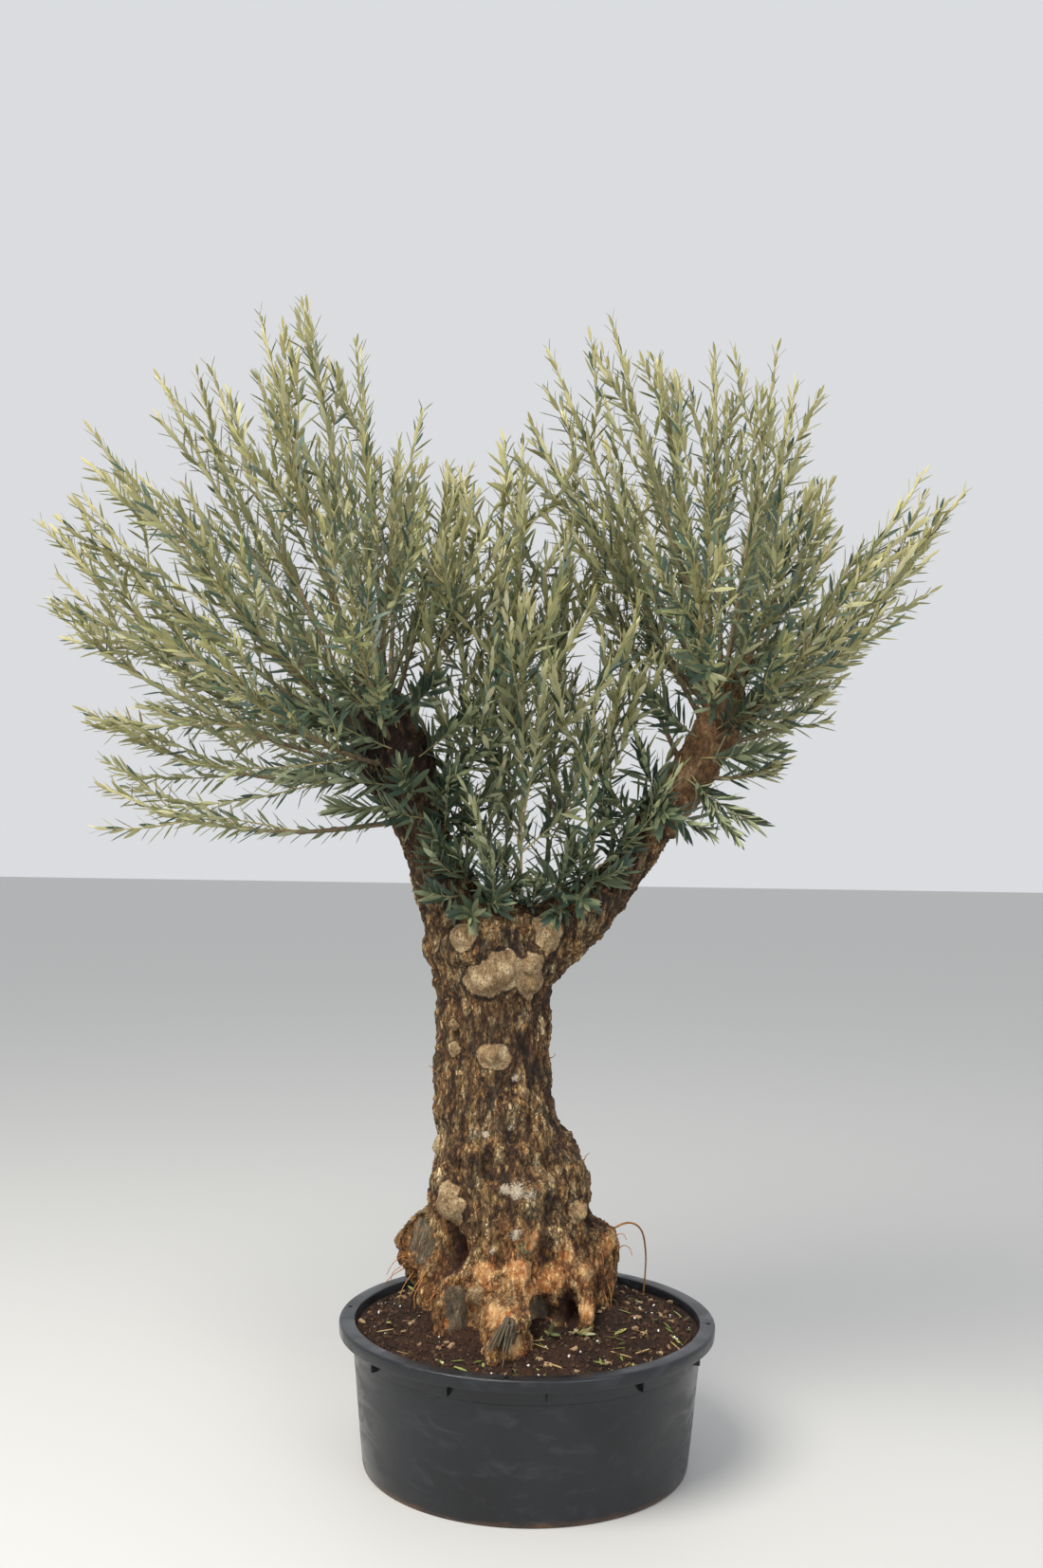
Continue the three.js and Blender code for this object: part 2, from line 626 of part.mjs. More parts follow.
let seed = 1;
for (const [place, rows] of Object.entries(BOUGHS)) {
  rows.forEach(([where, ...leafTip], i) => {
    const tip = new THREE.Vector3(...leafTip);
    const bough = makeBough(startOf(place, where, tip), tip, seed, fatTrunk);
    olive.add(namedMesh(`bough_${place}_${String(i + 1).padStart(2, "0")}`, bough, LEAF));
    seed += 1;
  });
}

export default olive;
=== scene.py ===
# %% [markdown]
# # An old olive, grown as a large bonsai, in its nursery tub
#
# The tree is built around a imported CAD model, which is loaded first and stays as it is: it is the
# frame, and things collide with it. Every piece made here is in metres in that same frame, with the
# origin in the middle of the tub's underside and the front of the tree towards -Y.

# %% Load the frame
import math

import bmesh
import bpy
import numpy as np
from mathutils import Matrix, Quaternion, Vector, noise
from mathutils.bvhtree import BVHTree


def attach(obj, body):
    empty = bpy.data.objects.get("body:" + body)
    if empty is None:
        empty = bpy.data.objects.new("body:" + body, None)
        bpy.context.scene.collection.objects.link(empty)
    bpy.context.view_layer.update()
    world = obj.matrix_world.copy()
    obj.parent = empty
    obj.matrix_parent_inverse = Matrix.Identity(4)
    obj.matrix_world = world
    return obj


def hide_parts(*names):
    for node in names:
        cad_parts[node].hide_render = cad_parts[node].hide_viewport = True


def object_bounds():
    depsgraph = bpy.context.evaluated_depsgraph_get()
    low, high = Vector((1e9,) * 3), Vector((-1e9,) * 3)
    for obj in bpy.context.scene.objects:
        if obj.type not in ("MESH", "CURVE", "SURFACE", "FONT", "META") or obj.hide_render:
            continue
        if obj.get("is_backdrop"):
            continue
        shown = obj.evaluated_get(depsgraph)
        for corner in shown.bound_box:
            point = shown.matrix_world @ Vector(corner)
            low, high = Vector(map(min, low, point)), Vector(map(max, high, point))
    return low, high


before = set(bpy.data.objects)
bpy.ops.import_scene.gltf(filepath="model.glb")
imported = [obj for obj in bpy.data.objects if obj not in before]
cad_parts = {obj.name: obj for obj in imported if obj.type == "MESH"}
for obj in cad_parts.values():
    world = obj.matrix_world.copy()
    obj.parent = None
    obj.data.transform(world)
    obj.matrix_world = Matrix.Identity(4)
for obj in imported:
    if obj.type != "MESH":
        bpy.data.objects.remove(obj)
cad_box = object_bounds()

scene = bpy.context.scene
print("nodes in the frame:", len(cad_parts))
print("CAD box:", [[round(v, 3) for v in corner] for corner in cad_box])

# %% [markdown]
# ## Colours and nodes
#
# Colours are written as the sRGB hex values that a colour picker shows, and a shader wants linear
# light, so one function turns one into the other. One more function adds a node with its settings and
# its links. Much of a pattern is plain sums, so a third one turns a list of steps into nodes.

# %% Put a node, work out a list of steps
NOISE, CELLS, RAMP = "ShaderNodeTexNoise", "ShaderNodeTexVoronoi", "ShaderNodeValToRGB"
VECTORS, XYZ, PARTS = "ShaderNodeVectorMath", "ShaderNodeCombineXYZ", "ShaderNodeSeparateXYZ"


def linear(hex_colour):
    """An sRGB hex colour as linear red, green, blue and alpha."""
    shares = [int(hex_colour[i : i + 2], 16) / 255 for i in (1, 3, 5)]
    return tuple(s / 12.92 if s <= 0.04045 else ((s + 0.055) / 1.055) ** 2.4 for s in shares) + (1.0,)


def put(tree, kind, inputs=(), stops=(), take=0, **settings):
    """Adds a node and returns one of its outputs, by its place among those in use or by its name.
    Inputs go by place or by name too. Each is a socket to link from, a value or a hex colour.
    Stops are the (place, hex colour) pairs of a ramp."""
    node = tree.nodes.new(kind)
    for name, value in settings.items():
        setattr(node, name, value)
    in_use = [socket for socket in node.inputs if socket.enabled]
    for key, value in inputs.items() if isinstance(inputs, dict) else enumerate(inputs):
        socket = in_use[key] if isinstance(key, int) else node.inputs[key]
        if isinstance(value, bpy.types.NodeSocket):
            tree.links.new(value, socket)
        elif isinstance(value, str) and value.startswith("#"):
            socket.default_value = linear(value)
        else:
            socket.default_value = value
    for _ in stops[2:]:
        node.color_ramp.elements.new(0.5)
    for stop, (place, colour) in zip(node.color_ramp.elements if stops else (), stops):
        stop.position = place
        stop.color = linear(colour)
    made = [socket for socket in node.outputs if socket.enabled]
    return made[take] if isinstance(take, int) else node.outputs[take]


def work_out(tree, known, steps):
    """Adds a node for each step: (the result's name, how, the inputs). An input is a number, a colour
    or the name of an earlier result. LINEAR and SMOOTHSTEP carry a number from one range to another,
    MIX lays a colour over another, and any other step is a maths operation."""
    for name, how, *inputs in steps:
        inputs = [known.get(value, value) if isinstance(value, str) else value for value in inputs]
        if how in ("LINEAR", "SMOOTHSTEP"):
            known[name] = put(tree, "ShaderNodeMapRange", inputs, interpolation_type=how)
        elif how == "MIX":
            known[name] = put(tree, "ShaderNodeMix", inputs, data_type="RGBA")
        else:
            known[name] = put(tree, "ShaderNodeMath", inputs, operation=how)
    return known


print("black is", linear("#000000"), "and white is", [round(v, 3) for v in linear("#ffffff")])

# %% [markdown]
# ## Trees and pieces
#
# Geometry Nodes make what repeats or follows a surface. Every tree here has named inputs, one of them
# for its finish, and ends in Realize Instances and Set Material, because only a real mesh is exported.
# `grow` runs a tree on a piece and keeps what it makes as a plain mesh.


# %% Start, end and run a Geometry Nodes tree
def new_tree(name, sockets):
    """A tree whose inputs have these names, kinds and default values, and a finish."""
    tree = bpy.data.node_groups.new(name, "GeometryNodeTree")
    for label, kind, value in [("Geometry", "Geometry", None), *sockets, ("Finish", "Material", None)]:
        socket = tree.interface.new_socket(label, in_out="INPUT", socket_type="NodeSocket" + kind)
        if value is not None:
            socket.default_value = value
    tree.interface.new_socket("Geometry", in_out="OUTPUT", socket_type="NodeSocketGeometry")
    return tree, tree.nodes.new("NodeGroupInput").outputs


def end_tree(tree, given, geometry, chosen=True):
    """Ends a tree in Realize Instances and Set Material, on all faces or on the chosen ones."""
    whole = put(tree, "GeometryNodeRealizeInstances", (geometry,))
    inputs = {"Geometry": whole, "Selection": chosen, "Material": given["Finish"]}
    whole = put(tree, "GeometryNodeSetMaterial", inputs)
    tree.links.new(whole, tree.nodes.new("NodeGroupOutput").inputs[0])


def mesh_of(name, bm):
    """The mesh that a bmesh has built."""
    mesh = bpy.data.meshes.new(name)
    bm.to_mesh(mesh)
    bm.free()
    return mesh


def in_scene(name, data):
    """A new object of this data, put in the scene."""
    thing = bpy.data.objects.new(name, data)
    scene.collection.objects.link(thing)
    return thing


def plain_mesh(piece):
    """Replaces a piece's mesh by what its modifiers make of it, and takes the modifiers off."""
    bpy.context.view_layer.update()
    ready = bpy.context.evaluated_depsgraph_get()
    before = piece.data
    piece.data = bpy.data.meshes.new_from_object(
        piece.evaluated_get(ready), preserve_all_data_layers=True, depsgraph=ready
    )
    piece.modifiers.clear()
    bpy.data.meshes.remove(before)
    piece.data.name = piece.name
    return piece


def grow(piece, tree, **values):
    """Runs a tree on a piece, with its named inputs set by their identifiers."""
    modifier = piece.modifiers.new(tree.name, "NODES")
    modifier.node_group = tree
    for item in tree.interface.items_tree:
        label = item.name.lower().replace(" ", "_")
        if item.in_out == "INPUT" and label in values:
            modifier[item.identifier] = values[label]
    plain_mesh(piece)
    slots = piece.data.materials
    while len(slots) > 1 and slots[0] != values["finish"] and not any(
        face.material_index == 0 for face in piece.data.polygons
    ):
        slots.pop(index=0)
    return piece


print("meshes so far:", len(bpy.data.meshes))

# %% [markdown]
# ## The camera
#
# The photograph's view was worked out from the ellipses of the tub's rim and base, the level of the
# ground and the size of the tree. It fits a 35 mm lens on a frame 36 mm tall, 1.43 m above the ground
# and 3.59 m in front of the trunk, tilted up by two degrees and turned by not quite one. The same
# numbers turn a pixel of the photograph into a ray, which is how marks on the bark are put where they
# belong.

# %% Camera and rays through the photograph's pixels
PHOTO_WIDTH, PHOTO_HEIGHT = 1100, 1654
LENS_MM, FRAME_MM = 35.0, 36.0
FOCAL_PIXELS = LENS_MM / FRAME_MM * PHOTO_HEIGHT
CAMERA_PLACE = Vector((-0.0321, -3.5872, 1.4275))
CAMERA_TILT = math.radians(92.097)
CAMERA_ROLL = math.radians(0.888)

camera = in_scene("camera", bpy.data.cameras.new("camera"))
camera.data.sensor_fit = "VERTICAL"
camera.data.sensor_height = FRAME_MM
camera.data.lens = LENS_MM
camera.data.clip_end = 150.0
camera_turn = Matrix.Rotation(CAMERA_TILT, 4, "X") @ Matrix.Rotation(CAMERA_ROLL, 4, "Z")
camera.matrix_world = Matrix.Translation(CAMERA_PLACE) @ camera_turn
scene.camera = camera


def pixel_ray(across, down):
    """The direction from the camera through a pixel of the photograph."""
    way = Vector((across - PHOTO_WIDTH / 2, PHOTO_HEIGHT / 2 - down, -FOCAL_PIXELS))
    return (camera_turn.to_3x3() @ way).normalized()


def pixel_of(place):
    """The photograph's pixel that shows a place given in mm."""
    seen = camera_turn.to_3x3().transposed() @ (place / 1000 - CAMERA_PLACE)
    return PHOTO_WIDTH / 2 - FOCAL_PIXELS * seen.x / seen.z, PHOTO_HEIGHT / 2 + FOCAL_PIXELS * seen.y / seen.z


print("camera at", [round(v, 3) for v in CAMERA_PLACE])
print("the origin shows at pixel", [round(v) for v in pixel_of(Vector((0, 0, 0)))])

# %% [markdown]
# ## Light and ground
#
# The tree was photographed in soft daylight from above and in front, a little from the left, over a
# pale floor. A large area light gives that side, a weaker one fills the other, and a pale sky does the
# rest. The floor is no part of the object, so it is marked as stage.


# %% Soft light and a pale floor
def soft_light(name, place, aim, width, watts, colour):
    lamp = in_scene(name, bpy.data.lights.new(name, "AREA"))
    lamp.data.shape = "DISK"
    lamp.data.size = width
    lamp.data.energy = watts
    lamp.data.color = linear(colour)[:3]
    lamp.location = place
    lamp.rotation_euler = (Vector(aim) - Vector(place)).to_track_quat("-Z", "Y").to_euler()


soft_light("roof_light", (-2.2, -2.6, 5.2), (0.0, 0.0, 1.5), 3.4, 400.0, "#fffaf2")
soft_light("front_fill", (2.6, -4.2, 2.6), (0.0, 0.0, 1.2), 3.0, 70.0, "#f4f7ff")

world = bpy.data.worlds.new("pale_sky")
scene.world = world
world.use_nodes = True
sky = world.node_tree.nodes["Background"].inputs
sky["Color"].default_value = linear("#f1f3f6")
sky["Strength"].default_value = 0.8
scene.view_settings.view_transform = "Standard"

FLOOR_HALF = 45.0
floor_mesh = bpy.data.meshes.new("floor")
floor_corners = [(x * FLOOR_HALF, y * FLOOR_HALF, 0) for x, y in ((-1, -1), (1, -1), (1, 1), (-1, 1))]
floor_mesh.from_pydata(floor_corners, [], [(0, 1, 2, 3)])
floor = in_scene("floor", floor_mesh)
floor_paint = bpy.data.materials.new("pale_floor")
floor_paint.use_nodes = True
paint = floor_paint.node_tree.nodes["Principled BSDF"].inputs
paint["Base Color"].default_value = linear("#c6c6c4")
paint["Roughness"].default_value = 0.6
floor_mesh.materials.append(floor_paint)
floor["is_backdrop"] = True

# %% [markdown]
# ## How a finish is built
#
# Each material starts the same way: the piece's own Object coordinates, which stay fixed to the piece,
# feed noise and cells whose sizes are real millimetres. `wandering` shakes a pattern's place a little,
# so that its cells don't look drawn with a ruler.


# %% Helpers for finishes
def finish(name, roughness, ior=1.5, **constants):
    """A bare material, its tree, its principled shader's inputs and its Object coordinates."""
    material = bpy.data.materials.new(name)
    material.use_nodes = True
    tree = material.node_tree
    shader = tree.nodes["Principled BSDF"].inputs
    shader["Roughness"].default_value = roughness
    shader["IOR"].default_value = ior
    for socket, value in constants.items():
        shader[socket.replace("_", " ")].default_value = value
    return material, tree, shader, put(tree, "ShaderNodeTexCoord", take="Object")


def per_mm(size):
    """The texture scale that gives a pattern of this size in millimetres."""
    return 1000.0 / size


def wandering(tree, place, size, amount):
    """A place that strays by a noise of the given size, both in mm."""
    stray = put(tree, NOISE, (place, per_mm(size), 3.0), take="Color")
    stray = put(tree, VECTORS, (stray, (0.5, 0.5, 0.5)), operation="SUBTRACT")
    stray = put(tree, VECTORS, (stray, amount / 500), operation="SCALE")
    return put(tree, VECTORS, (place, stray), operation="ADD")


def dress(tree, shader, colour, relief, depth, strength=1.0):
    """Gives a shader its colour and the bumps of a relief, whose depth is in mm."""
    tree.links.new(colour, shader["Base Color"])
    bumps = {"Strength": strength, "Distance": depth / 1000, "Height": relief}
    tree.links.new(put(tree, "ShaderNodeBump", bumps), shader["Normal"])


def between(low, high, share):
    return low + (high - low) * share


# %% [markdown]
# ## Finish of the tub
#
# Black polyethylene that has stood outdoors is a dark blue grey with a dull sheen. Handling leaves pale
# dry smears and fine scratches, and earth splashes stick to the foot. The flat top of the lip is painted
# a little lighter, as a painted highlight.

# %% Finish: weathered black polyethylene, injection moulded
TUB_HEIGHT = 0.324
# Half the height of the band on top of the lip that is painted lighter as a highlight
LIP_HIGHLIGHT_BAND = 0.0005

black_polyethylene, tree, shader, here = finish(
    "weathered_black_polyethylene", 0.36, ior=1.51, Specular_IOR_Level=0.42
)
drawn_out = put(tree, "ShaderNodeMapping", {"Vector": here, "Scale": (1.0, 1.0, 2.6)})
scratch_run = put(tree, "ShaderNodeMapping", {"Vector": here, "Scale": (1.0, 1.0, 9.0)})
seen = {
    "height": put(tree, PARTS, (here,), take="Z"),
    "cloudy": put(tree, NOISE, (here, per_mm(160), 3.0, 0.55)),
    "smears": put(
        tree, NOISE,
        {"Vector": drawn_out, "Scale": per_mm(95), "Detail": 5.0, "Roughness": 0.62, "Distortion": 0.6},
    ),
    "scratches": put(tree, NOISE, (scratch_run, per_mm(26), 6.0, 0.7)),
}
seen["plastic"] = put(tree, RAMP, (seen["cloudy"],), [(0.3, "#121418"), (0.7, "#1b1e23")])
work_out(tree, seen, [
    ("smeared", "LINEAR", "smears", 0.54, 0.76, 0.0, 0.55),
    ("scratched", "LINEAR", "scratches", 0.66, 0.8, 0.0, 0.35),
    # Painted highlight: the flat top of the lip is painted lighter.
    ("dusty", "LINEAR", "height", TUB_HEIGHT - LIP_HIGHLIGHT_BAND, TUB_HEIGHT + LIP_HIGHLIGHT_BAND, 0.0, 0.18),
    ("at foot", "LINEAR", "height", 0.035, 0.0),
    ("earthy", "MULTIPLY", "at foot", "smears"),
    ("earthy", "LINEAR", "earthy", 0.3, 0.62, 0.0, 0.8),
    ("plastic", "MIX", "smeared", "plastic", "#3b3f44"),
    ("plastic", "MIX", "scratched", "plastic", "#4a4e53"),
    ("plastic", "MIX", "dusty", "plastic", "#3d4248"),
    ("plastic", "MIX", "earthy", "plastic", "#6b4a30"),
    ("dull", "LINEAR", "smears", 0.42, 0.72, 0.24, 0.56),
])
tree.links.new(seen["dull"], shader["Roughness"])
dress(tree, shader, seen["plastic"], seen["scratches"], 0.6, 0.12)
print(black_polyethylene.name, "has", len(tree.nodes), "nodes")

# %% [markdown]
# ## The tub
#
# A nursery tub is one injection moulding of black polyethylene: a flared wall, a low collar, a flat lip
# and a skirt that turns down from it, with twelve fins in the corner under the lip. The profile is a
# line that is spun round the axis, so it is written as radius and height. The fins repeat, so Geometry
# Nodes set one on each of twelve points. The holes are cut last.

# %% Spin the profile of the tub
BASE_RADIUS, NECK_RADIUS, MOUTH_RADIUS, RIM_RADIUS = 0.375, 0.406, 0.398, 0.434
TUB_WALL, TUB_FLOOR = 0.005, 0.006
SKIRT_DEPTH, COLLAR_HEIGHT, COLLAR_STEP = 0.026, 0.061, 0.0025
TUB_SIDES = 168


def tub_wall_radius(height):
    return between(BASE_RADIUS, NECK_RADIUS - COLLAR_STEP, height / (TUB_HEIGHT - SKIRT_DEPTH))


def tub_inner_radius(height):
    share = (height - TUB_FLOOR) / (TUB_HEIGHT - TUB_FLOOR)
    return between(BASE_RADIUS - TUB_WALL, MOUTH_RADIUS, share)


def spun(name, profile, sides):
    """A closed body of revolution from (radius, height) pairs that start and end on the axis."""
    rings = [(r, z) for r, z in profile if r > 0]
    points = [(0, 0, profile[0][1]), (0, 0, profile[-1][1])]
    for radius, height in rings:
        for i in range(sides):
            turn = 2 * math.pi * i / sides
            points.append((radius * math.cos(turn), radius * math.sin(turn), height))
    faces = []
    for i in range(sides):
        following = (i + 1) % sides
        faces.append((0, 2 + following, 2 + i))
        for ring in range(len(rings) - 1):
            low, high = 2 + ring * sides, 2 + (ring + 1) * sides
            faces.append((low + i, low + following, high + following, high + i))
        last = 2 + (len(rings) - 1) * sides
        faces.append((1, last + i, last + following))
    mesh = bpy.data.meshes.new(name)
    mesh.from_pydata(points, [], faces)
    return in_scene(name, mesh)


collar_foot = TUB_HEIGHT - COLLAR_HEIGHT
skirt_foot = TUB_HEIGHT - SKIRT_DEPTH
lip_underside = TUB_HEIGHT - TUB_WALL
tub_profile = [
    (0, 0.004), (0.33, 0.004), (0.345, 0),
    (BASE_RADIUS - 0.007, 0), (BASE_RADIUS - 0.002, 0.002), (BASE_RADIUS, 0.008),
    *[(tub_wall_radius(h), h) for h in (0.05, 0.12, 0.19)],
    (tub_wall_radius(collar_foot - 0.002), collar_foot - 0.002),
    (tub_wall_radius(collar_foot) + COLLAR_STEP, collar_foot + 0.0005),
    (tub_wall_radius(collar_foot) + COLLAR_STEP, collar_foot + 0.003),
    (NECK_RADIUS - 0.002, collar_foot + 0.006),
    (NECK_RADIUS, lip_underside - 0.003), (NECK_RADIUS + 0.002, lip_underside),
    (RIM_RADIUS - TUB_WALL - 0.002, lip_underside), (RIM_RADIUS - TUB_WALL, lip_underside - 0.002),
    (RIM_RADIUS - TUB_WALL, skirt_foot),
    (RIM_RADIUS - 0.002, skirt_foot - 0.0005), (RIM_RADIUS - 0.001, skirt_foot + 0.001),
    (RIM_RADIUS, TUB_HEIGHT - 0.006), (RIM_RADIUS - 0.0005, TUB_HEIGHT - 0.0035),
    (RIM_RADIUS - 0.0018, TUB_HEIGHT - 0.0016), (RIM_RADIUS - 0.0036, TUB_HEIGHT - 0.0004),
    (RIM_RADIUS - 0.006, TUB_HEIGHT), (MOUTH_RADIUS + 0.004, TUB_HEIGHT),
    (MOUTH_RADIUS + 0.001, TUB_HEIGHT - 0.0008),
    (tub_inner_radius(TUB_HEIGHT - 0.004), TUB_HEIGHT - 0.004), (tub_inner_radius(0.2), 0.2),
    (tub_inner_radius(TUB_FLOOR + 0.006), TUB_FLOOR + 0.006),
    (tub_inner_radius(TUB_FLOOR) - 0.006, TUB_FLOOR + 0.002), (0, TUB_FLOOR + 0.002),
]
tub = spun("tub", tub_profile, TUB_SIDES)
tub.data.materials.append(black_polyethylene)
print("tub shell:", len(tub.data.polygons), "faces")

# %% [markdown]
# A fin is a small upright block that ties the skirt to the collar and ends a little below it. The tree
# takes a count, a first turn and the fin itself, and sets the fins on a circle.

# %% Twelve fins under the lip
FINS = 12
FIN_TURN = math.radians(6)
FIN_THICKNESS, FIN_REACH, FIN_DROP = 0.006, 0.013, 0.027

fin_outline = [
    (NECK_RADIUS - 0.004, skirt_foot - FIN_DROP),
    (NECK_RADIUS + FIN_REACH - 0.001, skirt_foot - FIN_DROP),
    (NECK_RADIUS + FIN_REACH, skirt_foot + 0.003),
    (RIM_RADIUS - TUB_WALL + 0.002, skirt_foot + 0.004),
    (RIM_RADIUS - TUB_WALL + 0.002, lip_underside + 0.002),
    (NECK_RADIUS - 0.003, lip_underside + 0.002),
]
edges = len(fin_outline)
fin_mesh = bpy.data.meshes.new("fin")
fin_mesh.from_pydata(
    [(x, side * FIN_THICKNESS / 2, z) for side in (-1, 1) for x, z in fin_outline],
    [],
    [tuple(range(edges)), tuple(range(2 * edges - 1, edges - 1, -1))]
    + [(i, edges + i, edges + (i + 1) % edges, (i + 1) % edges) for i in range(edges)],
)
fin = bpy.data.objects.new("fin", fin_mesh)

tree, given = new_tree(
    "fins round a rim", [("Count", "Int", 12), ("First Turn", "Float", 0.0), ("Fin", "Object", None)]
)
place = put(tree, "GeometryNodeInputIndex")
turns = {"place": place, "count": given["Count"], "first": given["First Turn"]}
work_out(tree, turns, [
    ("step", "DIVIDE", 2 * math.pi, "count"),
    ("turn", "MULTIPLY_ADD", "place", "step", "first"),
])
fins = put(tree, "GeometryNodeInstanceOnPoints", {
    "Points": put(tree, "GeometryNodeMeshLine", {"Count": given["Count"], "Offset": (0, 0, 0)}),
    "Instance": put(tree, "GeometryNodeObjectInfo", (given["Fin"],), take="Geometry"),
    "Rotation": put(tree, XYZ, {"Z": turns["turn"]}),
})
end_tree(tree, given, fins)

fin_ring = in_scene("fin_ring", bpy.data.meshes.new("fin_ring"))
grow(
    fin_ring, tree, count=FINS, first_turn=-math.pi / 2 + FIN_TURN, fin=fin, finish=black_polyethylene
)
print("fins:", len(fin_ring.data.polygons) // len(fin_mesh.polygons))

# %% [markdown]
# The lip has four small holes for ties and the floor has eight for water. A Boolean modifier joins the
# fins to the shell and cuts the holes, so that the tub stays one closed moulding.

# %% Join the fins and cut the holes
DRAIN_HOLES, DRAIN_RADIUS, DRAIN_CIRCLE = 8, 0.012, 0.29
TIE_HOLES, TIE_RADIUS = 4, 0.0055
TIE_CIRCLE = (MOUTH_RADIUS + RIM_RADIUS) / 2 + 0.002
PUNCH_SIDES, PUNCH_REACH = 20, 0.02
SHARP_TURN = math.radians(32)


def punches(name, count, radius, circle, first, height):
    """A ring of upright round bars that reach through a given height."""
    bm = bmesh.new()
    for i in range(count):
        turn = first + 2 * math.pi * i / count
        place = Matrix.Translation((circle * math.cos(turn), circle * math.sin(turn), height))
        bmesh.ops.create_cone(
            bm, cap_ends=True, segments=PUNCH_SIDES, radius1=radius, radius2=radius,
            depth=2 * PUNCH_REACH, matrix=place,
        )
    return in_scene(name, mesh_of(name, bm))


drains = punches("drains", DRAIN_HOLES, DRAIN_RADIUS, DRAIN_CIRCLE, math.pi / DRAIN_HOLES, 0.0)
ties = punches("ties", TIE_HOLES, TIE_RADIUS, TIE_CIRCLE, -FIN_TURN, TUB_HEIGHT)
for other, operation in ((fin_ring, "UNION"), (drains, "DIFFERENCE"), (ties, "DIFFERENCE")):
    cut = tub.modifiers.new(other.name, "BOOLEAN")
    cut.operation = operation
    cut.object = other
    cut.solver = "EXACT"
plain_mesh(tub)
for helper in (fin_ring, drains, ties, fin):
    bpy.data.objects.remove(helper)
tub.data.shade_smooth()
tub.data.set_sharp_from_angle(angle=SHARP_TURN)
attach(tub, "root")
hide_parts("pot")
print("tub:", len(tub.data.polygons), "faces")

# %% [markdown]
# ## The trunk as one skin
#
# An olive trunk is never round: it has root buttresses, woody knobs and two limbs that leave it at a
# collar. Each of those is easy on its own, as rings about a wandering axis, a tube along a curve or a
# ball. A voxel remesh then melts them into one closed skin, as the tree's own growth does. The shape
# functions are the same ones that the CAD model uses, in millimetres.


# %% Shape functions of the trunk
def smooth_step(value, low, high):
    share = min(1.0, max(0.0, (value - low) / (high - low)))
    return share * share * (3 - 2 * share)


def along(pairs, place):
    """Value of a smooth line through (place, value) pairs."""
    if place <= pairs[0][0]:
        return pairs[0][1]
    for (start, low), (end, high) in zip(pairs, pairs[1:]):
        if place < end:
            return between(low, high, smooth_step(place, start, end))
    return pairs[-1][1]


TRUNK_AXIS_X = [(0, -45), (560, -46), (700, -55), (800, -84), (950, -88), (1115, -92), (1285, -98)]
TRUNK_AXIS_Y = [(0, 15), (500, 10), (900, 0), (1285, 0)]
TRUNK_GIRTH = [
    (190, 135), (330, 148), (440, 166), (560, 184), (630, 188), (700, 166), (775, 143), (875, 137),
    (950, 133), (1050, 134), (1115, 143), (1165, 166), (1220, 158), (1285, 92),
]
# Turn from +X in degrees, bulge, half width in degrees, height where it is fullest, reach above, below
BUTTRESSES = [
    (164, 98, 26, 478, 62, 190), (12, 106, 27, 470, 70, 180), (-127, 108, 17, 330, 150, 260),
    (-96, 190, 10, 300, 120, 260), (-82, 140, 9, 300, 150, 260), (-47, 122, 15, 320, 160, 260),
    (55, 92, 20, 380, 130, 240), (98, 120, 17, 350, 170, 250), (132, 84, 14, 400, 130, 250),
    (-15, 60, 14, 350, 120, 200), (-158, 52, 13, 350, 110, 200),
]
# Lobes round the trunk: how many, over what height one turns by a radian, and how high
LOBES = [(3, 90, 0.025), (5, -60, 0.018)]
TRUNK_DEPTH_SHARE = 0.94
TRUNK_FOOT, TRUNK_TOP = 240, 1285


def trunk_radius(height, turn):
    lobes = sum(high * math.sin(count * turn + height / winding) for count, winding, high in LOBES)
    radius = along(TRUNK_GIRTH, height) * (1 + lobes)
    for middle, bulge, spread, full, above, below in BUTTRESSES:
        apart = turn - math.radians(middle)
        sideways = math.atan2(math.sin(apart), math.cos(apart)) / math.radians(spread)
        upright = (height - full) / (above if height > full else below)
        radius += bulge * math.exp(-sideways * sideways - upright * upright)
    return radius


def trunk_point(height, turn, share=1.0):
    radius = share * trunk_radius(height, turn)
    return (
        along(TRUNK_AXIS_X, height) + radius * math.cos(turn),
        along(TRUNK_AXIS_Y, height) + TRUNK_DEPTH_SHARE * radius * math.sin(turn),
        height,
    )


print("trunk: radius", round(trunk_radius(950, -math.pi / 2)), "mm at 950 mm, in front")

# %% [markdown]
# A limb is a tube along a smooth curve through a few points. The curve is a centripetal Catmull-Rom
# spline, which passes through its points without loops, and the boughs later use the same one.


# %% Smooth curves and tubes
class SmoothCurve:
    """A centripetal Catmull-Rom curve through points, in millimetres."""

    def __init__(self, points):
        self.points = [Vector(p) for p in points]

    def at(self, share):
        pts = self.points
        place = share * (len(pts) - 1)
        first = min(int(place), len(pts) - 2)
        t = place - first
        p1, p2 = pts[first], pts[first + 1]
        p0 = pts[first - 1] if first > 0 else 2 * p1 - p2
        p3 = pts[first + 2] if first + 2 < len(pts) else 2 * p2 - p1
        middle = (p2 - p1).length ** 0.5 or 1.0
        before = (p1 - p0).length ** 0.5 or middle
        after = (p3 - p2).length ** 0.5 or middle
        lead = ((p1 - p0) / before - (p2 - p0) / (before + middle) + (p2 - p1) / middle) * middle
        trail = ((p2 - p1) / middle - (p3 - p1) / (middle + after) + (p3 - p2) / after) * middle
        bend = -3 * p1 + 3 * p2 - 2 * lead - trail
        return p1 + lead * t + bend * t**2 + (2 * p1 - 2 * p2 + lead + trail) * t**3

    def way(self, share):
        return (self.at(min(1.0, share + 1e-4)) - self.at(max(0.0, share - 1e-4))).normalized()

    def length(self):
        marks = [self.at(i / 60) for i in range(61)]
        return sum((b - a).length for a, b in zip(marks, marks[1:]))


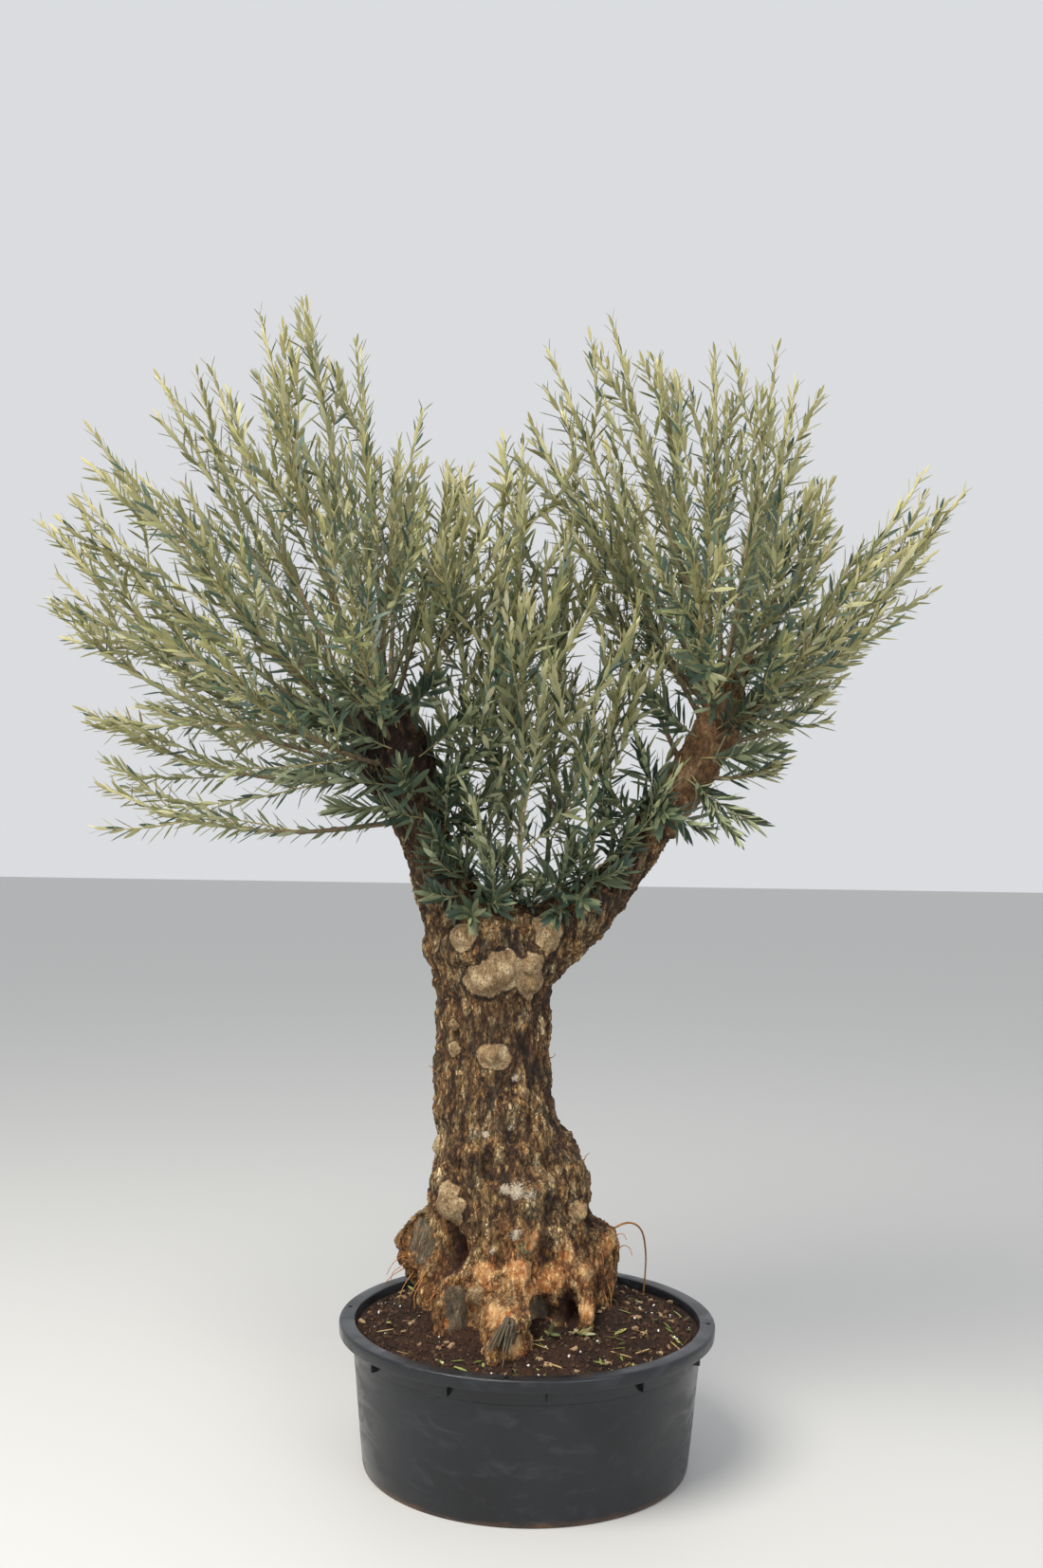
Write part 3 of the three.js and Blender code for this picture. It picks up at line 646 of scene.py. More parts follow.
def add_rings(bm, rings):
    """A closed body over rings of points given in mm."""
    rings = [[bm.verts.new(point / 1000) for point in ring] for ring in rings]
    sides = len(rings[0])
    for low, high in zip(rings, rings[1:]):
        for k in range(sides):
            j = (k + 1) % sides
            bm.faces.new((low[k], low[j], high[j], high[k]))
    bm.faces.new(rings[0][::-1])
    bm.faces.new(rings[-1])


def add_tube(bm, curve, radius_at, sides, steps):
    """A closed tube along a curve; its radius follows the share of its length."""
    rings = []
    across = curve.way(0.0).orthogonal().normalized()
    for i in range(steps + 1):
        share = i / steps
        way = curve.way(share)
        across = (across - way * across.dot(way)).normalized()
        side = way.cross(across)
        turns = [2 * math.pi * k / sides for k in range(sides)]
        spokes = [across * math.cos(turn) + side * math.sin(turn) for turn in turns]
        rings.append([curve.at(share) + spoke * radius_at(share) for spoke in spokes])
    add_rings(bm, rings)


# Each limb's middle line and its radius there
LIMBS = {
    "left": [
        (-130, 0, 1130, 108), (-165, 0, 1220, 92), (-202, -4, 1310, 76), (-245, -10, 1400, 60),
        (-272, -14, 1480, 68), (-315, -20, 1585, 91), (-346, -24, 1650, 86), (-378, -26, 1730, 74),
        (-396, -26, 1795, 50),
    ],
    "right": [
        (-60, 0, 1120, 100), (30, 0, 1195, 86), (105, 2, 1250, 75), (160, 6, 1300, 60),
        (205, 10, 1350, 51), (262, 16, 1425, 48), (328, 22, 1530, 52), (398, 28, 1640, 56),
        (434, 30, 1705, 57), (452, 30, 1775, 48), (470, 30, 1835, 34),
    ],
}
limb_curves = {side: SmoothCurve([row[:3] for row in rows]) for side, rows in LIMBS.items()}


def limb_radius(rows, share):
    place = share * (len(rows) - 1)
    first = min(int(place), len(rows) - 2)
    return between(rows[first][3], rows[first + 1][3], place - first)


print("limbs:", {side: round(curve.length()) for side, curve in limb_curves.items()}, "mm long")

# %% [markdown]
# The knobs are burls: pale, rounded overgrowths of wood. Their places on the front come from the
# photograph; a few more sit at the back, which it doesn't show. Three stubs are where branches were
# sawn off. Two more burls of the CAD model are under 20 mm and would drown in the relief of the bark.

# %% Rings, limbs, knobs and stubs as one bundle
# A burl in front: across and height, half width and half height. One at the back: degrees, height, size
BURLS = [
    (-104, 1112, 38, 34), (-70, 1138, 42, 38), (-6, 1143, 27, 28), (-8, 1106, 32, 31),
    (29, 1215, 30, 42), (-157, 1206, 28, 28), (-85, 938, 30, 25), (-178, 948, 15, 15),
    (-180, 1003, 12, 12), (-178, 603, 31, 38), (112, 586, 18, 22),
]
BACK_BURLS = [
    (184, 711, 21), (75, 1060, 38), (112, 930, 30), (58, 800, 26), (128, 690, 34), (30, 960, 18)
]
BURL_SUNK, BURL_WOBBLE = 0.32, 0.26
SAWN_STUBS = [
    ((455, 20, 1770), (500, -22, 1868), 21), ((-380, -20, 1730), (-428, 40, 1822), 24),
    ((-330, -20, 1640), (-300, 72, 1690), 20),
]
SKIN_SIDES, SKIN_RINGS, LIMB_SIDES, LIMB_RINGS, STUB_SIDES, STUB_RINGS = 150, 170, 48, 80, 24, 8
WOBBLE_FINENESS = 34

knobs = []
for across, height, width, tall in BURLS:
    radius = trunk_radius(height, -math.pi / 2)
    off_axis = min(0.98, abs(across - along(TRUNK_AXIS_X, height)) / radius)
    deep = TRUNK_DEPTH_SHARE * radius * math.sqrt(1 - off_axis**2)
    middle = Vector((across, along(TRUNK_AXIS_Y, height) - deep + BURL_SUNK * width, height))
    knobs.append((middle, Vector((width, width, tall))))
for degrees, height, size in BACK_BURLS:
    turn = math.radians(degrees)
    middle = Vector(trunk_point(height, turn, 1 - BURL_SUNK * size / trunk_radius(height, turn)))
    knobs.append((middle, Vector((size, size, size))))

bm = bmesh.new()
turns = [2 * math.pi * k / SKIN_SIDES for k in range(SKIN_SIDES)]
heights = [between(TRUNK_FOOT, TRUNK_TOP, i / SKIN_RINGS) for i in range(SKIN_RINGS + 1)]
add_rings(bm, [[Vector(trunk_point(height, turn)) for turn in turns] for height in heights])
for side, rows in LIMBS.items():
    add_tube(
        bm, limb_curves[side], lambda share, rows=rows: limb_radius(rows, share), LIMB_SIDES, LIMB_RINGS
    )
for start, end, radius in SAWN_STUBS:
    add_tube(bm, SmoothCurve([start, end]), lambda share, radius=radius: radius, STUB_SIDES, STUB_RINGS)
for middle, size in knobs:
    place = Matrix.Translation(middle / 1000) @ Matrix.Diagonal((*(size / 1000), 1.0))
    ball = bmesh.ops.create_icosphere(bm, subdivisions=4, radius=1.0, matrix=place)
    for v in ball["verts"]:
        v.co += (v.co - middle / 1000) * (BURL_WOBBLE * noise.noise(v.co * WOBBLE_FINENESS))
trunk = in_scene("olive_trunk", mesh_of("trunk_skin", bm))
print("bundle:", len(trunk.data.polygons), "faces,", len(knobs), "knobs")

# %% Melt the bundle into one skin
SKIN_GRAIN = 0.0054
MELT_SOFTNESS, MELT_ROUNDS = 0.5, 3

melt = trunk.modifiers.new("melt", "REMESH")
melt.mode = "VOXEL"
melt.voxel_size = SKIN_GRAIN
ease = trunk.modifiers.new("ease", "SMOOTH")
ease.factor = MELT_SOFTNESS
ease.iterations = MELT_ROUNDS
plain_mesh(trunk)
print("trunk skin:", len(trunk.data.polygons), "faces")

# %% [markdown]
# ## Lumps, hollows and sawn faces
#
# The foot of this tree was sawn free from the ground, so it has what a field-grown olive shows there:
# rounded lumps and knuckles, saw cuts that have weathered grey, and hollows between the roots that go
# down to red heartwood. Each is a row with a pixel of the photograph. A ray through that pixel meets
# the skin, and the skin near that spot is pushed out, pressed in or planed flat.


# %% Meet the skin with rays
def vertex_array(mesh, name="co"):
    values = np.empty(len(mesh.vertices) * 3)
    mesh.vertices.foreach_get(name, values)
    return values.reshape(-1, 3)


def skin_tree(mesh):
    mesh.calc_loop_triangles()
    triangles = [tuple(triangle.vertices) for triangle in mesh.loop_triangles]
    return BVHTree.FromPolygons([v.co for v in mesh.vertices], triangles)


skin = skin_tree(trunk.data)
skin_points = vertex_array(trunk.data)
skin_facing = vertex_array(trunk.data, "normal")


def on_skin(across, down):
    """Where the ray through a pixel of the photograph meets the trunk, and which way the skin faces.
    A ray that passes just beside the trunk takes the point of the skin nearest to where it passes."""
    way = pixel_ray(across, down)
    spot, facing, _, _ = skin.ray_cast(CAMERA_PLACE, way)
    if spot is None:
        spot, facing, _, _ = skin.find_nearest(CAMERA_PLACE - way * (CAMERA_PLACE.y / way.y))
        print("beside the trunk:", (across, down))
    return spot, facing


def nearness(spot, wide, tall):
    """1 at a spot and falling to 0 away from it, for every point of the skin."""
    away = skin_points - np.array(spot)
    level = np.hypot(away[:, 0], away[:, 1]) / (wide / 1000)
    upright = away[:, 2] / (tall / 1000)
    return np.exp(-(level**2 + upright**2))


print("the middle of the trunk's front is at", [round(v, 3) for v in on_skin(515, 1150)[0]])

# %% Push lumps out, press hollows in and set knuckles on
# Pixel across and down, half width and half height in mm, push in mm
LUMPS = [
    (506, 1366, 19, 19, 26), (548, 1342, 40, 26, 10), (582, 1352, 30, 26, 11), (616, 1342, 34, 28, 14),
    (560, 1256, 44, 30, 12), (608, 1232, 38, 32, 18), (612, 1266, 26, 24, 10), (546, 1300, 34, 18, 8),
    (588, 1300, 40, 22, 9), (643, 1300, 30, 30, 10), (440, 1290, 36, 34, 8), (486, 1352, 26, 40, 9),
    (543, 1396, 26, 30, 12), (622, 1384, 22, 30, 12), (497, 1216, 20, 70, 12), (527, 1208, 14, 70, 11),
    (465, 1236, 20, 40, 10), (487, 1052, 16, 46, 5), (560, 1108, 12, 70, 6), (500, 1150, 14, 60, 5),
    (541, 1215, 34, 16, 5), (636, 1325, 24, 34, 8), (574, 1195, 26, 40, 6), (566, 1388, 34, 34, 44),
]
HOLLOWS = [
    (472, 1322, 34, 50, 74), (597, 1390, 22, 44, 62), (526, 1330, 13, 30, 14), (548, 1062, 22, 20, 9),
    (560, 1326, 46, 9, 9), (527, 1122, 14, 18, 8), (553, 1225, 40, 8, 9), (508, 1300, 9, 60, 9),
    (586, 1282, 44, 7, 8), (634, 1278, 46, 20, 36), (655, 1330, 12, 30, 14), (519, 1400, 10, 40, 12),
    (484, 1240, 10, 70, 14), (513, 1228, 9, 80, 15), (541, 1200, 9, 60, 11), (600, 1190, 8, 50, 9),
    (607, 1400, 8, 30, 10), (632, 1352, 8, 40, 12),
]
# Pixel across and down of a round root knuckle, and its radius in mm
KNUCKLES = [(506, 1366, 24), (612, 1281, 17), (553, 1153, 12)]
DEEP_HOLLOW, KNUCKLE_HEIGHT = 50, 0.9
KNUCKLE_EDGE, KNUCKLE_EDGE_WIDTH = 1.2, 0.4

push = np.zeros_like(skin_points)
hollow_mask, lump_mask, knuckle_mask = np.zeros((3, len(skin_points)))
for across, down, wide, tall, amount in LUMPS:
    near = nearness(on_skin(across, down)[0], wide, tall)
    push += skin_facing * (near * amount / 1000)[:, None]
    lump_mask = np.maximum(lump_mask, near)
for across, down, wide, tall, amount in HOLLOWS:
    spot, facing = on_skin(across, down)
    near = nearness(spot, wide, tall)
    push -= np.array(facing) * (near * amount / 1000)[:, None]
    # A deeper hollow gets a stronger mask, and so more of the hollows' painted shade.
    hollow_mask = np.maximum(hollow_mask, near * min(1.0, amount / DEEP_HOLLOW))
for across, down, radius in KNUCKLES:
    spot, facing = on_skin(across, down)
    away = np.linalg.norm(skin_points - np.array(spot), axis=1) / (radius / 1000)
    dome = np.sqrt(np.clip(1 - away**2, 0, 1)) * KNUCKLE_HEIGHT * radius / 1000
    push += np.array(facing) * dome[:, None]
    edge = np.clip((KNUCKLE_EDGE - away) / KNUCKLE_EDGE_WIDTH, 0, 1)
    knuckle_mask = np.maximum(knuckle_mask, edge)
skin_points += push
print("skin pushed by up to", round(float(np.abs(push).max()) * 1000), "mm")

# %% Plane the sawn faces
# Pixel across and down, radius in mm, how deep the saw went in mm
SAWN_FACES = [
    (437, 1308, 60, 22), (566, 1386, 44, 16), (480, 1368, 30, 8), (482, 1384, 32, 8), (484, 1401, 28, 6)
]
SAWN_EDGE, SAWN_SHARPNESS = 1.05, 4
SAWN_BELOW, SAWN_ABOVE = -0.004, 0.06

sawn_mask = np.zeros(len(skin_points))
for across, down, radius, deep in SAWN_FACES:
    spot, _ = on_skin(across, down)
    away = skin_points - np.array(spot)
    facing = skin_facing[np.linalg.norm(away, axis=1) < radius / 1000].mean(axis=0)
    facing /= np.linalg.norm(facing)
    above = away @ facing
    reach = np.linalg.norm(away - above[:, None] * facing, axis=1) / (radius / 1000)
    above += deep / 1000
    planed = (above > 0) & (reach < 1.0)
    skin_points[planed] -= above[planed, None] * facing
    shown = np.clip((SAWN_EDGE - reach) * SAWN_SHARPNESS, 0, 1) * (above > SAWN_BELOW) * (above < SAWN_ABOVE)
    sawn_mask = np.maximum(sawn_mask, shown)
trunk.data.vertices.foreach_set("co", skin_points.ravel())
trunk.data.update()
print("sawn faces:", len(SAWN_FACES))

# %% [markdown]
# ## Which way the bark runs
#
# Bark splits along the way that the wood grows: up the trunk and then out along each limb. The pattern
# needs that direction everywhere, and it has to turn gradually. Every point of the skin takes the
# direction of the nearest centre lines, weighed by how near they are, and its place is squeezed along
# that direction, so that round cells drawn there come out as long plates. The result is kept on the
# mesh as a vector attribute, which the relief and the colours both read.

# %% The run of the bark
FORK = np.array((-0.09, 0.0, 1.15))
PLATE_STRETCH = 3.3
LIMB_PULL, PULL_FROM, PULL_OVER, PULL_SOFTNESS = 40, 1.08, 0.18, 0.02
LEFT_LIMB_TO, RIGHT_LIMB_FROM = FORK[0] + 0.03, FORK[0] - 0.06


def centre_line(curve, steps=40):
    marks = np.array([curve.at(i / steps) for i in range(steps + 1)]) / 1000
    ways = np.array([curve.way(i / steps) for i in range(steps + 1)])
    return marks, ways


run = np.tile(np.array((0.0, 0.0, 1.0)), (len(skin_points), 1))
for side, curve in limb_curves.items():
    marks, ways = centre_line(curve)
    away = np.linalg.norm(skin_points[:, None, :] - marks[None, :, :], axis=2)
    nearest = away.argmin(axis=1)
    closeness = 1 / (away.min(axis=1) + PULL_SOFTNESS) ** 4
    lift = np.clip((skin_points[:, 2] - PULL_FROM) / PULL_OVER, 0, 1)
    weight = LIMB_PULL * lift * closeness / closeness.max()
    weight *= skin_points[:, 0] < LEFT_LIMB_TO if side == "left" else skin_points[:, 0] > RIGHT_LIMB_FROM
    run += ways[nearest] * weight[:, None]
run /= np.linalg.norm(run, axis=1)[:, None]
from_fork = skin_points - FORK
lengthwise = (from_fork * run).sum(axis=1)
bark_run = from_fork - run * (lengthwise * (1 - 1 / PLATE_STRETCH))[:, None]
print("bark runs up by", round(float(run[:, 2].min()), 2), "to", round(float(run[:, 2].max()), 2))

# %% [markdown]
# Other masks say where a burl is and where the crevice round it lies, whose dark is painted shade, and
# a few rows of pixels say where bark has peeled to pale wood and where the roots are bright ochre.

# %% Store the run and the masks
BURL_EDGE, BURL_EDGE_WIDTH, CREVICE_AT, CREVICE_WIDTH, NEAR_KNOB = 1.38, 0.25, 1.4, 0.12, 1.7
EDGE_FINENESS = 45
# Pixel across and down, and half size in mm
PEELED = [
    (545, 1257, 26), (558, 1260, 22), (533, 1255, 16), (545, 1301, 18), (541, 1306, 12),
    (543, 1137, 12), (512, 1196, 11), (519, 1320, 10), (540, 1190, 12),
]
OCHRE = [
    (505, 1378, 30), (533, 1392, 34), (545, 1420, 26), (620, 1386, 26), (617, 1410, 22),
    (520, 1385, 30), (548, 1342, 40), (616, 1345, 36), (580, 1350, 36), (643, 1312, 30),
    (560, 1365, 30), (510, 1340, 30), (613, 1282, 24), (505, 1365, 30), (560, 1310, 30),
    (598, 1320, 30),
]

burl_mask = knuckle_mask
crevice_shade_mask = np.zeros(len(skin_points))
for middle, size in knobs:
    away = np.linalg.norm((skin_points - np.array(middle) / 1000) / (np.array(size) / 1000), axis=1)
    near = np.flatnonzero(away < NEAR_KNOB)
    away[near] += [BURL_WOBBLE * noise.noise(Vector(skin_points[i]) * EDGE_FINENESS) for i in near]
    burl_mask = np.maximum(burl_mask, np.clip((BURL_EDGE - away) / BURL_EDGE_WIDTH, 0, 1))
    # The crevice round a burl, where painted shade goes.
    crevice_shade_mask = np.maximum(crevice_shade_mask, np.exp(-(((away - CREVICE_AT) / CREVICE_WIDTH) ** 2)))


def spots_mask(rows):
    return np.max([nearness(on_skin(across, down)[0], size, size) for across, down, size in rows], axis=0)


def store(mesh, name, values, kind="FLOAT"):
    layer = mesh.attributes.new(name, kind, "POINT")
    key = "vector" if kind == "FLOAT_VECTOR" else "value"
    layer.data.foreach_set(key, values.astype(np.float32).ravel())


store(trunk.data, "bark_run", bark_run, "FLOAT_VECTOR")
for name, mask in {
    "burl": burl_mask,
    "crevice": crevice_shade_mask,
    "sawn": sawn_mask,
    "hollow": hollow_mask,
    "lump": lump_mask,
    "peeled": spots_mask(PEELED),
    "ochre": spots_mask(OCHRE),
}.items():
    store(trunk.data, name, mask)
    print(f"{name}: {int((mask > 0.5).sum())} points of the skin")

# %% [markdown]
# ## Finish of the bark
#
# Weathered olive bark is grey brown on the plates and almost black in the furrows, where the dark is
# partly the bark's own and partly painted shade. Low on the trunk, where earth covered it, the bark is
# thin and ochre with red earth in its hollows; burls are pale and pitted; a saw cut goes grey; and
# peeled places show bleached wood. Every one of these follows a mask that is stored on the mesh, and
# noise breaks up their edges. Painted shade also darkens the crevices round the burls, the rims and
# depths of the hollows, the upper left limb and the crook of the right limb. It is bone dry, so it is
# dull. First come the masks, noises and cells that it is made of.

# %% Finish: fissured olive bark, weathered
ATTRIBUTE = "ShaderNodeAttribute"
BARK_MASKS = ("furrow", "plate", "burl", "crevice", "sawn", "hollow", "peeled", "ochre")

olive_bark, tree, shader, here = finish("fissured_olive_bark", 0.88, ior=1.45)
run_at = put(tree, ATTRIBUTE, take="Vector", attribute_name="bark_run")
shorter = put(tree, "ShaderNodeMix", (0.3, run_at, here), data_type="VECTOR")
shorter = wandering(tree, shorter, 12, 9)
scaly = wandering(tree, run_at, 30, 12)
# Where each noise is drawn, its size in mm, its detail and its roughness
BARK_NOISES = {
    "streaks": (run_at, 7, 6.0, 0.72), "scales": (here, 11, 6.0, 0.7), "broad": (here, 80, 4.0, 0.6),
    "blotch": (here, 34, 6.0, 0.66), "patch": (run_at, 26, 6.0, 0.64), "grain": (here, 4, 3.0, 0.7),
    "crease": (run_at, 17, 6.0, 0.62), "cut": (run_at, 16, 6.0, 0.7),
}
seen = {
    "across": put(tree, PARTS, (here,)),
    "height": put(tree, PARTS, (here,), take="Z"),
    "flake": put(tree, PARTS, (put(tree, CELLS, (shorter, per_mm(10)), take="Color"),)),
    "flake rim": put(tree, CELLS, (shorter, per_mm(10)), feature="DISTANCE_TO_EDGE"),
    "crack": put(tree, CELLS, (scaly, per_mm(9)), feature="DISTANCE_TO_EDGE"),
}
for name in BARK_MASKS:
    seen[name] = put(tree, ATTRIBUTE, take="Fac", attribute_name=name)
for name, (place, size, detail, roughness) in BARK_NOISES.items():
    seen[name] = put(tree, NOISE, (place, per_mm(size), detail, roughness))
print("the bark starts from", len(seen), "patterns")

# %% [markdown]
# A plate, a flake and fine noise add up to one tone, which the colours of the bark follow. Cracks,
# creases, flake rims and the furrows of the relief add up to the fissures, which are painted near black,
# partly the bark's own dark and partly painted shade. They fade on the thin bark of the bare right limb
# and on the ochre roots. The other steps say where each coat of colour lies.

# %% Tone, fissures and places of the coats
work_out(tree, seen, [
    ("fine", "MULTIPLY", "scales", 0.4),
    ("fine", "MULTIPLY_ADD", "streaks", 0.6, "fine"),
    ("tone", "MULTIPLY_ADD", "fine", 0.9, -0.08),
    ("tone", "MULTIPLY_ADD", "plate", 0.26, "tone"),
    ("tone", "MULTIPLY_ADD", "flake", 0.26, "tone"),
    ("high", "SMOOTHSTEP", "height", 1.22, 1.62),
    ("elbow", "SMOOTHSTEP", "height", 1.2, 1.3),
    ("left limb", "SMOOTHSTEP", "across", -0.05, -0.25),
    ("right limb", "SMOOTHSTEP", "across", 0.2, 0.36),
    ("bare limb", "MULTIPLY", "high", "right limb"),
    # Fissures
    ("crack", "SMOOTHSTEP", "crack", 0.0, 0.16, 0.7, 0.0),
    ("crease", "SUBTRACT", "crease", 0.5),
    ("crease", "ABSOLUTE", "crease"),
    ("crease", "SMOOTHSTEP", "crease", 0.0, 0.05, 0.95, 0.0),
    ("fissure", "MAXIMUM", "crack", "crease"),
    ("furrow", "MULTIPLY", "furrow", 0.85),
    ("fissure", "MAXIMUM", "fissure", "furrow"),
    ("flaky", "SMOOTHSTEP", "broad", 0.4, 0.58, 0.3, 0.9),
    ("flake rim", "SMOOTHSTEP", "flake rim", 0.02, 0.16, 1.0, 0.0),
    ("flake rim", "MULTIPLY", "flake rim", "flaky"),
    ("fissure", "MAXIMUM", "fissure", "flake rim"),
    ("smoother", "SMOOTHSTEP", "bare limb", 0.1, 0.9, 1.0, 0.3),
    ("fissure", "MULTIPLY", "fissure", "smoother"),
    ("smoother", "SMOOTHSTEP", "ochre", 0.3, 0.9, 1.0, 0.55),
    ("fissure", "MULTIPLY", "fissure", "smoother"),
    # The fissures' near black is partly the bark's own dark and partly painted shade.
    ("fissured", "MULTIPLY", "fissure", 0.97),
    # Coats that follow a place or a noise
    ("pale patches", "SMOOTHSTEP", "broad", 0.52, 0.66, 0.0, 0.45),
    ("dark patches", "SMOOTHSTEP", "broad", 0.5, 0.38, 0.0, 0.6),
    ("dark streaks", "SMOOTHSTEP", "patch", 0.5, 0.6, 0.0, 0.8),
    ("smooth limb", "MULTIPLY", "bare limb", 0.75),
    # Painted shade: the upper left limb is painted darker.
    ("dark limb", "MULTIPLY", "high", "left limb"),
    ("dark limb", "MULTIPLY", "dark limb", 0.8),
    # Painted shade: the crook of the right limb above the fork is painted darker.
    ("inner side", "SMOOTHSTEP", "across", 0.05, 0.12),
    ("outer side", "SMOOTHSTEP", "across", 0.34, 0.2),
    ("dark elbow", "MULTIPLY", "inner side", "outer side"),
    ("dark elbow", "MULTIPLY", "dark elbow", "elbow"),
    ("dark elbow", "MULTIPLY", "dark elbow", 0.6),
    ("earth line", "MULTIPLY_ADD", "broad", 0.3, "height"),
    ("low", "SMOOTHSTEP", "earth line", 0.8, 0.52, 0.0, 0.82),
    ("buried", "SMOOTHSTEP", "earth line", 0.66, 0.5, 0.0, 0.75),
    ("red earth", "SMOOTHSTEP", "blotch", 0.46, 0.6),
    ("red earth", "MULTIPLY", "red earth", "buried"),
])
print("the bark has", len(tree.nodes), "nodes so far")

# %% Coats that follow a mask, with a noise to break up the edge
# The coat's name, its mask, its noise and how strong that is, where the coat starts, where it is full,
# and how well it covers there
BARK_EDGES = [
    ("ochre", "ochre", "blotch", 2.6, 1.46, 1.98, 0.86),
    # Painted shade: the crevice round each burl.
    ("burl rim", "crevice", "fine", 0.8, 0.7, 1.3, 0.75),
    ("burl", "burl", "blotch", 0.8, 0.78, 1.1, 0.92),
    ("peeled", "peeled", "grain", 1.6, 1.36, 1.52, 0.85),
    # Painted shade: the rim of each hollow, and the near black of the heartwood deeper in.
    ("hollow rim", "hollow", "fine", 0.8, 0.5, 0.8, 0.7),
    ("hollow", "hollow", "fine", 0.5, 0.6, 0.9, 0.92),
    ("sawn", "sawn", "blotch", 2.0, 1.6, 2.0, 0.92),
]
for name, mask, broken_by, strength, start, full, cover in BARK_EDGES:
    work_out(tree, seen, [
        (name, "MULTIPLY_ADD", broken_by, strength, mask),
        (name, "SMOOTHSTEP", name, start, full, 0.0, cover),
    ])
print("coats with broken edges:", len(BARK_EDGES))

# %% [markdown]
# Each kind of bark or wood is a run of colours, from its cracks to its ridges. The coats are then laid
# over one another, each where its own step says.

# %% Colours of the bark and wood
# What each run of colours follows, and its stops
BARK_RAMPS = {
    "plates": (
        "tone", [(0.36, "#37241a"), (0.5, "#6a482a"), (0.6, "#a07444"), (0.71, "#cfa469"), (0.84, "#edd29e")],
    ),
    "pale bark": ("tone", [(0.36, "#4a3b2b"), (0.52, "#857052"), (0.66, "#b09a78"), (0.84, "#d8c8a8")]),
    "thin bark": ("tone", [(0.36, "#572e15"), (0.52, "#a2622f"), (0.66, "#d39450"), (0.84, "#f0c68a")]),
    "ochre root": ("tone", [(0.36, "#884a20"), (0.5, "#cc8242"), (0.7, "#f2c388")]),
    "smooth bark": ("fine", [(0.36, "#523a28"), (0.5, "#7a5b40"), (0.66, "#9d7a57")]),
    # The hollows' heartwood: red wood, made near black with painted shade.
    "heartwood": ("fine", [(0.38, "#160805"), (0.52, "#3c180b"), (0.68, "#703719")]),
    "burl skin": ("blotch", [(0.34, "#7b6040"), (0.5, "#b0946c"), (0.66, "#d9c39b")]),
    "cut wood": ("cut", [(0.35, "#3a3226"), (0.5, "#5d5343"), (0.68, "#84775f")]),
}
for name, (follows, stops) in BARK_RAMPS.items():
    seen[name] = put(tree, RAMP, (seen[follows],), stops)
work_out(tree, seen, [
    ("pits", "SMOOTHSTEP", "grain", 0.5, 0.6, 0.0, 0.7),
    ("burl skin", "MIX", "pits", "burl skin", "#4f3b25"),
])

# The coats of the left limb, the elbow, the burl rims and the hollow rims are painted shade; the fissures'
# and the hollows' are partly painted shade.
BARK_COATS = [
    ("pale patches", "pale bark"), ("dark patches", "#33231a"), ("dark streaks", "#2e2014"),
    ("smooth limb", "smooth bark"), ("dark limb", "#36211a"), ("dark elbow", "#35261a"),
    ("low", "thin bark"), ("red earth", "#4b2513"), ("ochre", "ochre root"), ("fissured", "#150c06"),
    ("burl rim", "#21150d"), ("hollow rim", "#20140c"), ("burl", "burl skin"), ("peeled", "#c6b9a4"),
    ("hollow", "heartwood"), ("sawn", "cut wood"),
]
work_out(tree, seen, [
    *[("plates", "MIX", share, "plates", coat) for share, coat in BARK_COATS],
    ("relief", "MULTIPLY", "grain", 0.35),
    ("relief", "MULTIPLY_ADD", "fine", 0.7, "relief"),
    ("relief", "MULTIPLY_ADD", "flake", 0.45, "relief"),
    ("relief", "MULTIPLY_ADD", "fissure", -0.5, "relief"),
])
dress(tree, shader, seen["plates"], seen["relief"], 6.0)
print(olive_bark.name, "has", len(BARK_COATS), "coats over its plates")

# %% [markdown]
# ## Bark relief
#
# Olive bark breaks into small scaly plates with furrows between them. Voronoi cells give the plates:
# the distance to a cell's edge is 0 in a furrow, and the cell's own random number lifts or lowers its
# plate. Long cracks follow a noise where it crosses its middle value. Geometry Nodes move the skin
# itself by this, because furrows this deep show in the outline. Burls and sawn faces stay smooth,
# which is what their masks are for. The furrow is stored, so that its colour falls where the relief is.

# %% A tree that cuts bark into a skin
NAMED = "GeometryNodeInputNamedAttribute"

tree, given = new_tree(
    "bark relief",
    [
        ("Plate Width", "Float", 0.016), ("Furrow Depth", "Float", 0.005),
        ("Plate Lift", "Float", 0.003), ("Crack Spacing", "Float", 0.03),
        ("Lump Size", "Float", 0.06), ("Lump Height", "Float", 0.006),
    ],
)
run_at = put(tree, NAMED, ("bark_run",), data_type="FLOAT_VECTOR")
here = put(tree, "GeometryNodeInputPosition")
cells_at = wandering(tree, run_at, 50, 16)
seen = dict(given.items())
for name in ("burl", "sawn", "lump"):
    seen[name] = put(tree, NAMED, (name,), data_type="FLOAT")
work_out(tree, seen, [
    ("plate scale", "DIVIDE", 1.0, "Plate Width"),
    ("crack scale", "DIVIDE", 1.0, "Crack Spacing"),
    ("lump scale", "DIVIDE", 1.0, "Lump Size"),
])
cell = put(tree, CELLS, (cells_at, seen["plate scale"]), take="Color")
seen |= {
    "plate": put(tree, PARTS, (cell,)),
    "gap": put(tree, CELLS, (cells_at, seen["plate scale"]), feature="DISTANCE_TO_EDGE"),
    "patchy": put(tree, NOISE, (here, per_mm(75), 3.0)),
    "crease": put(tree, NOISE, (run_at, seen["crack scale"], 4.0, 0.6)),
    "swell": put(tree, NOISE, (here, seen["lump scale"], 5.0, 0.6)),
    "flakes": put(tree, NOISE, (run_at, per_mm(13), 3.0, 0.6)),
}
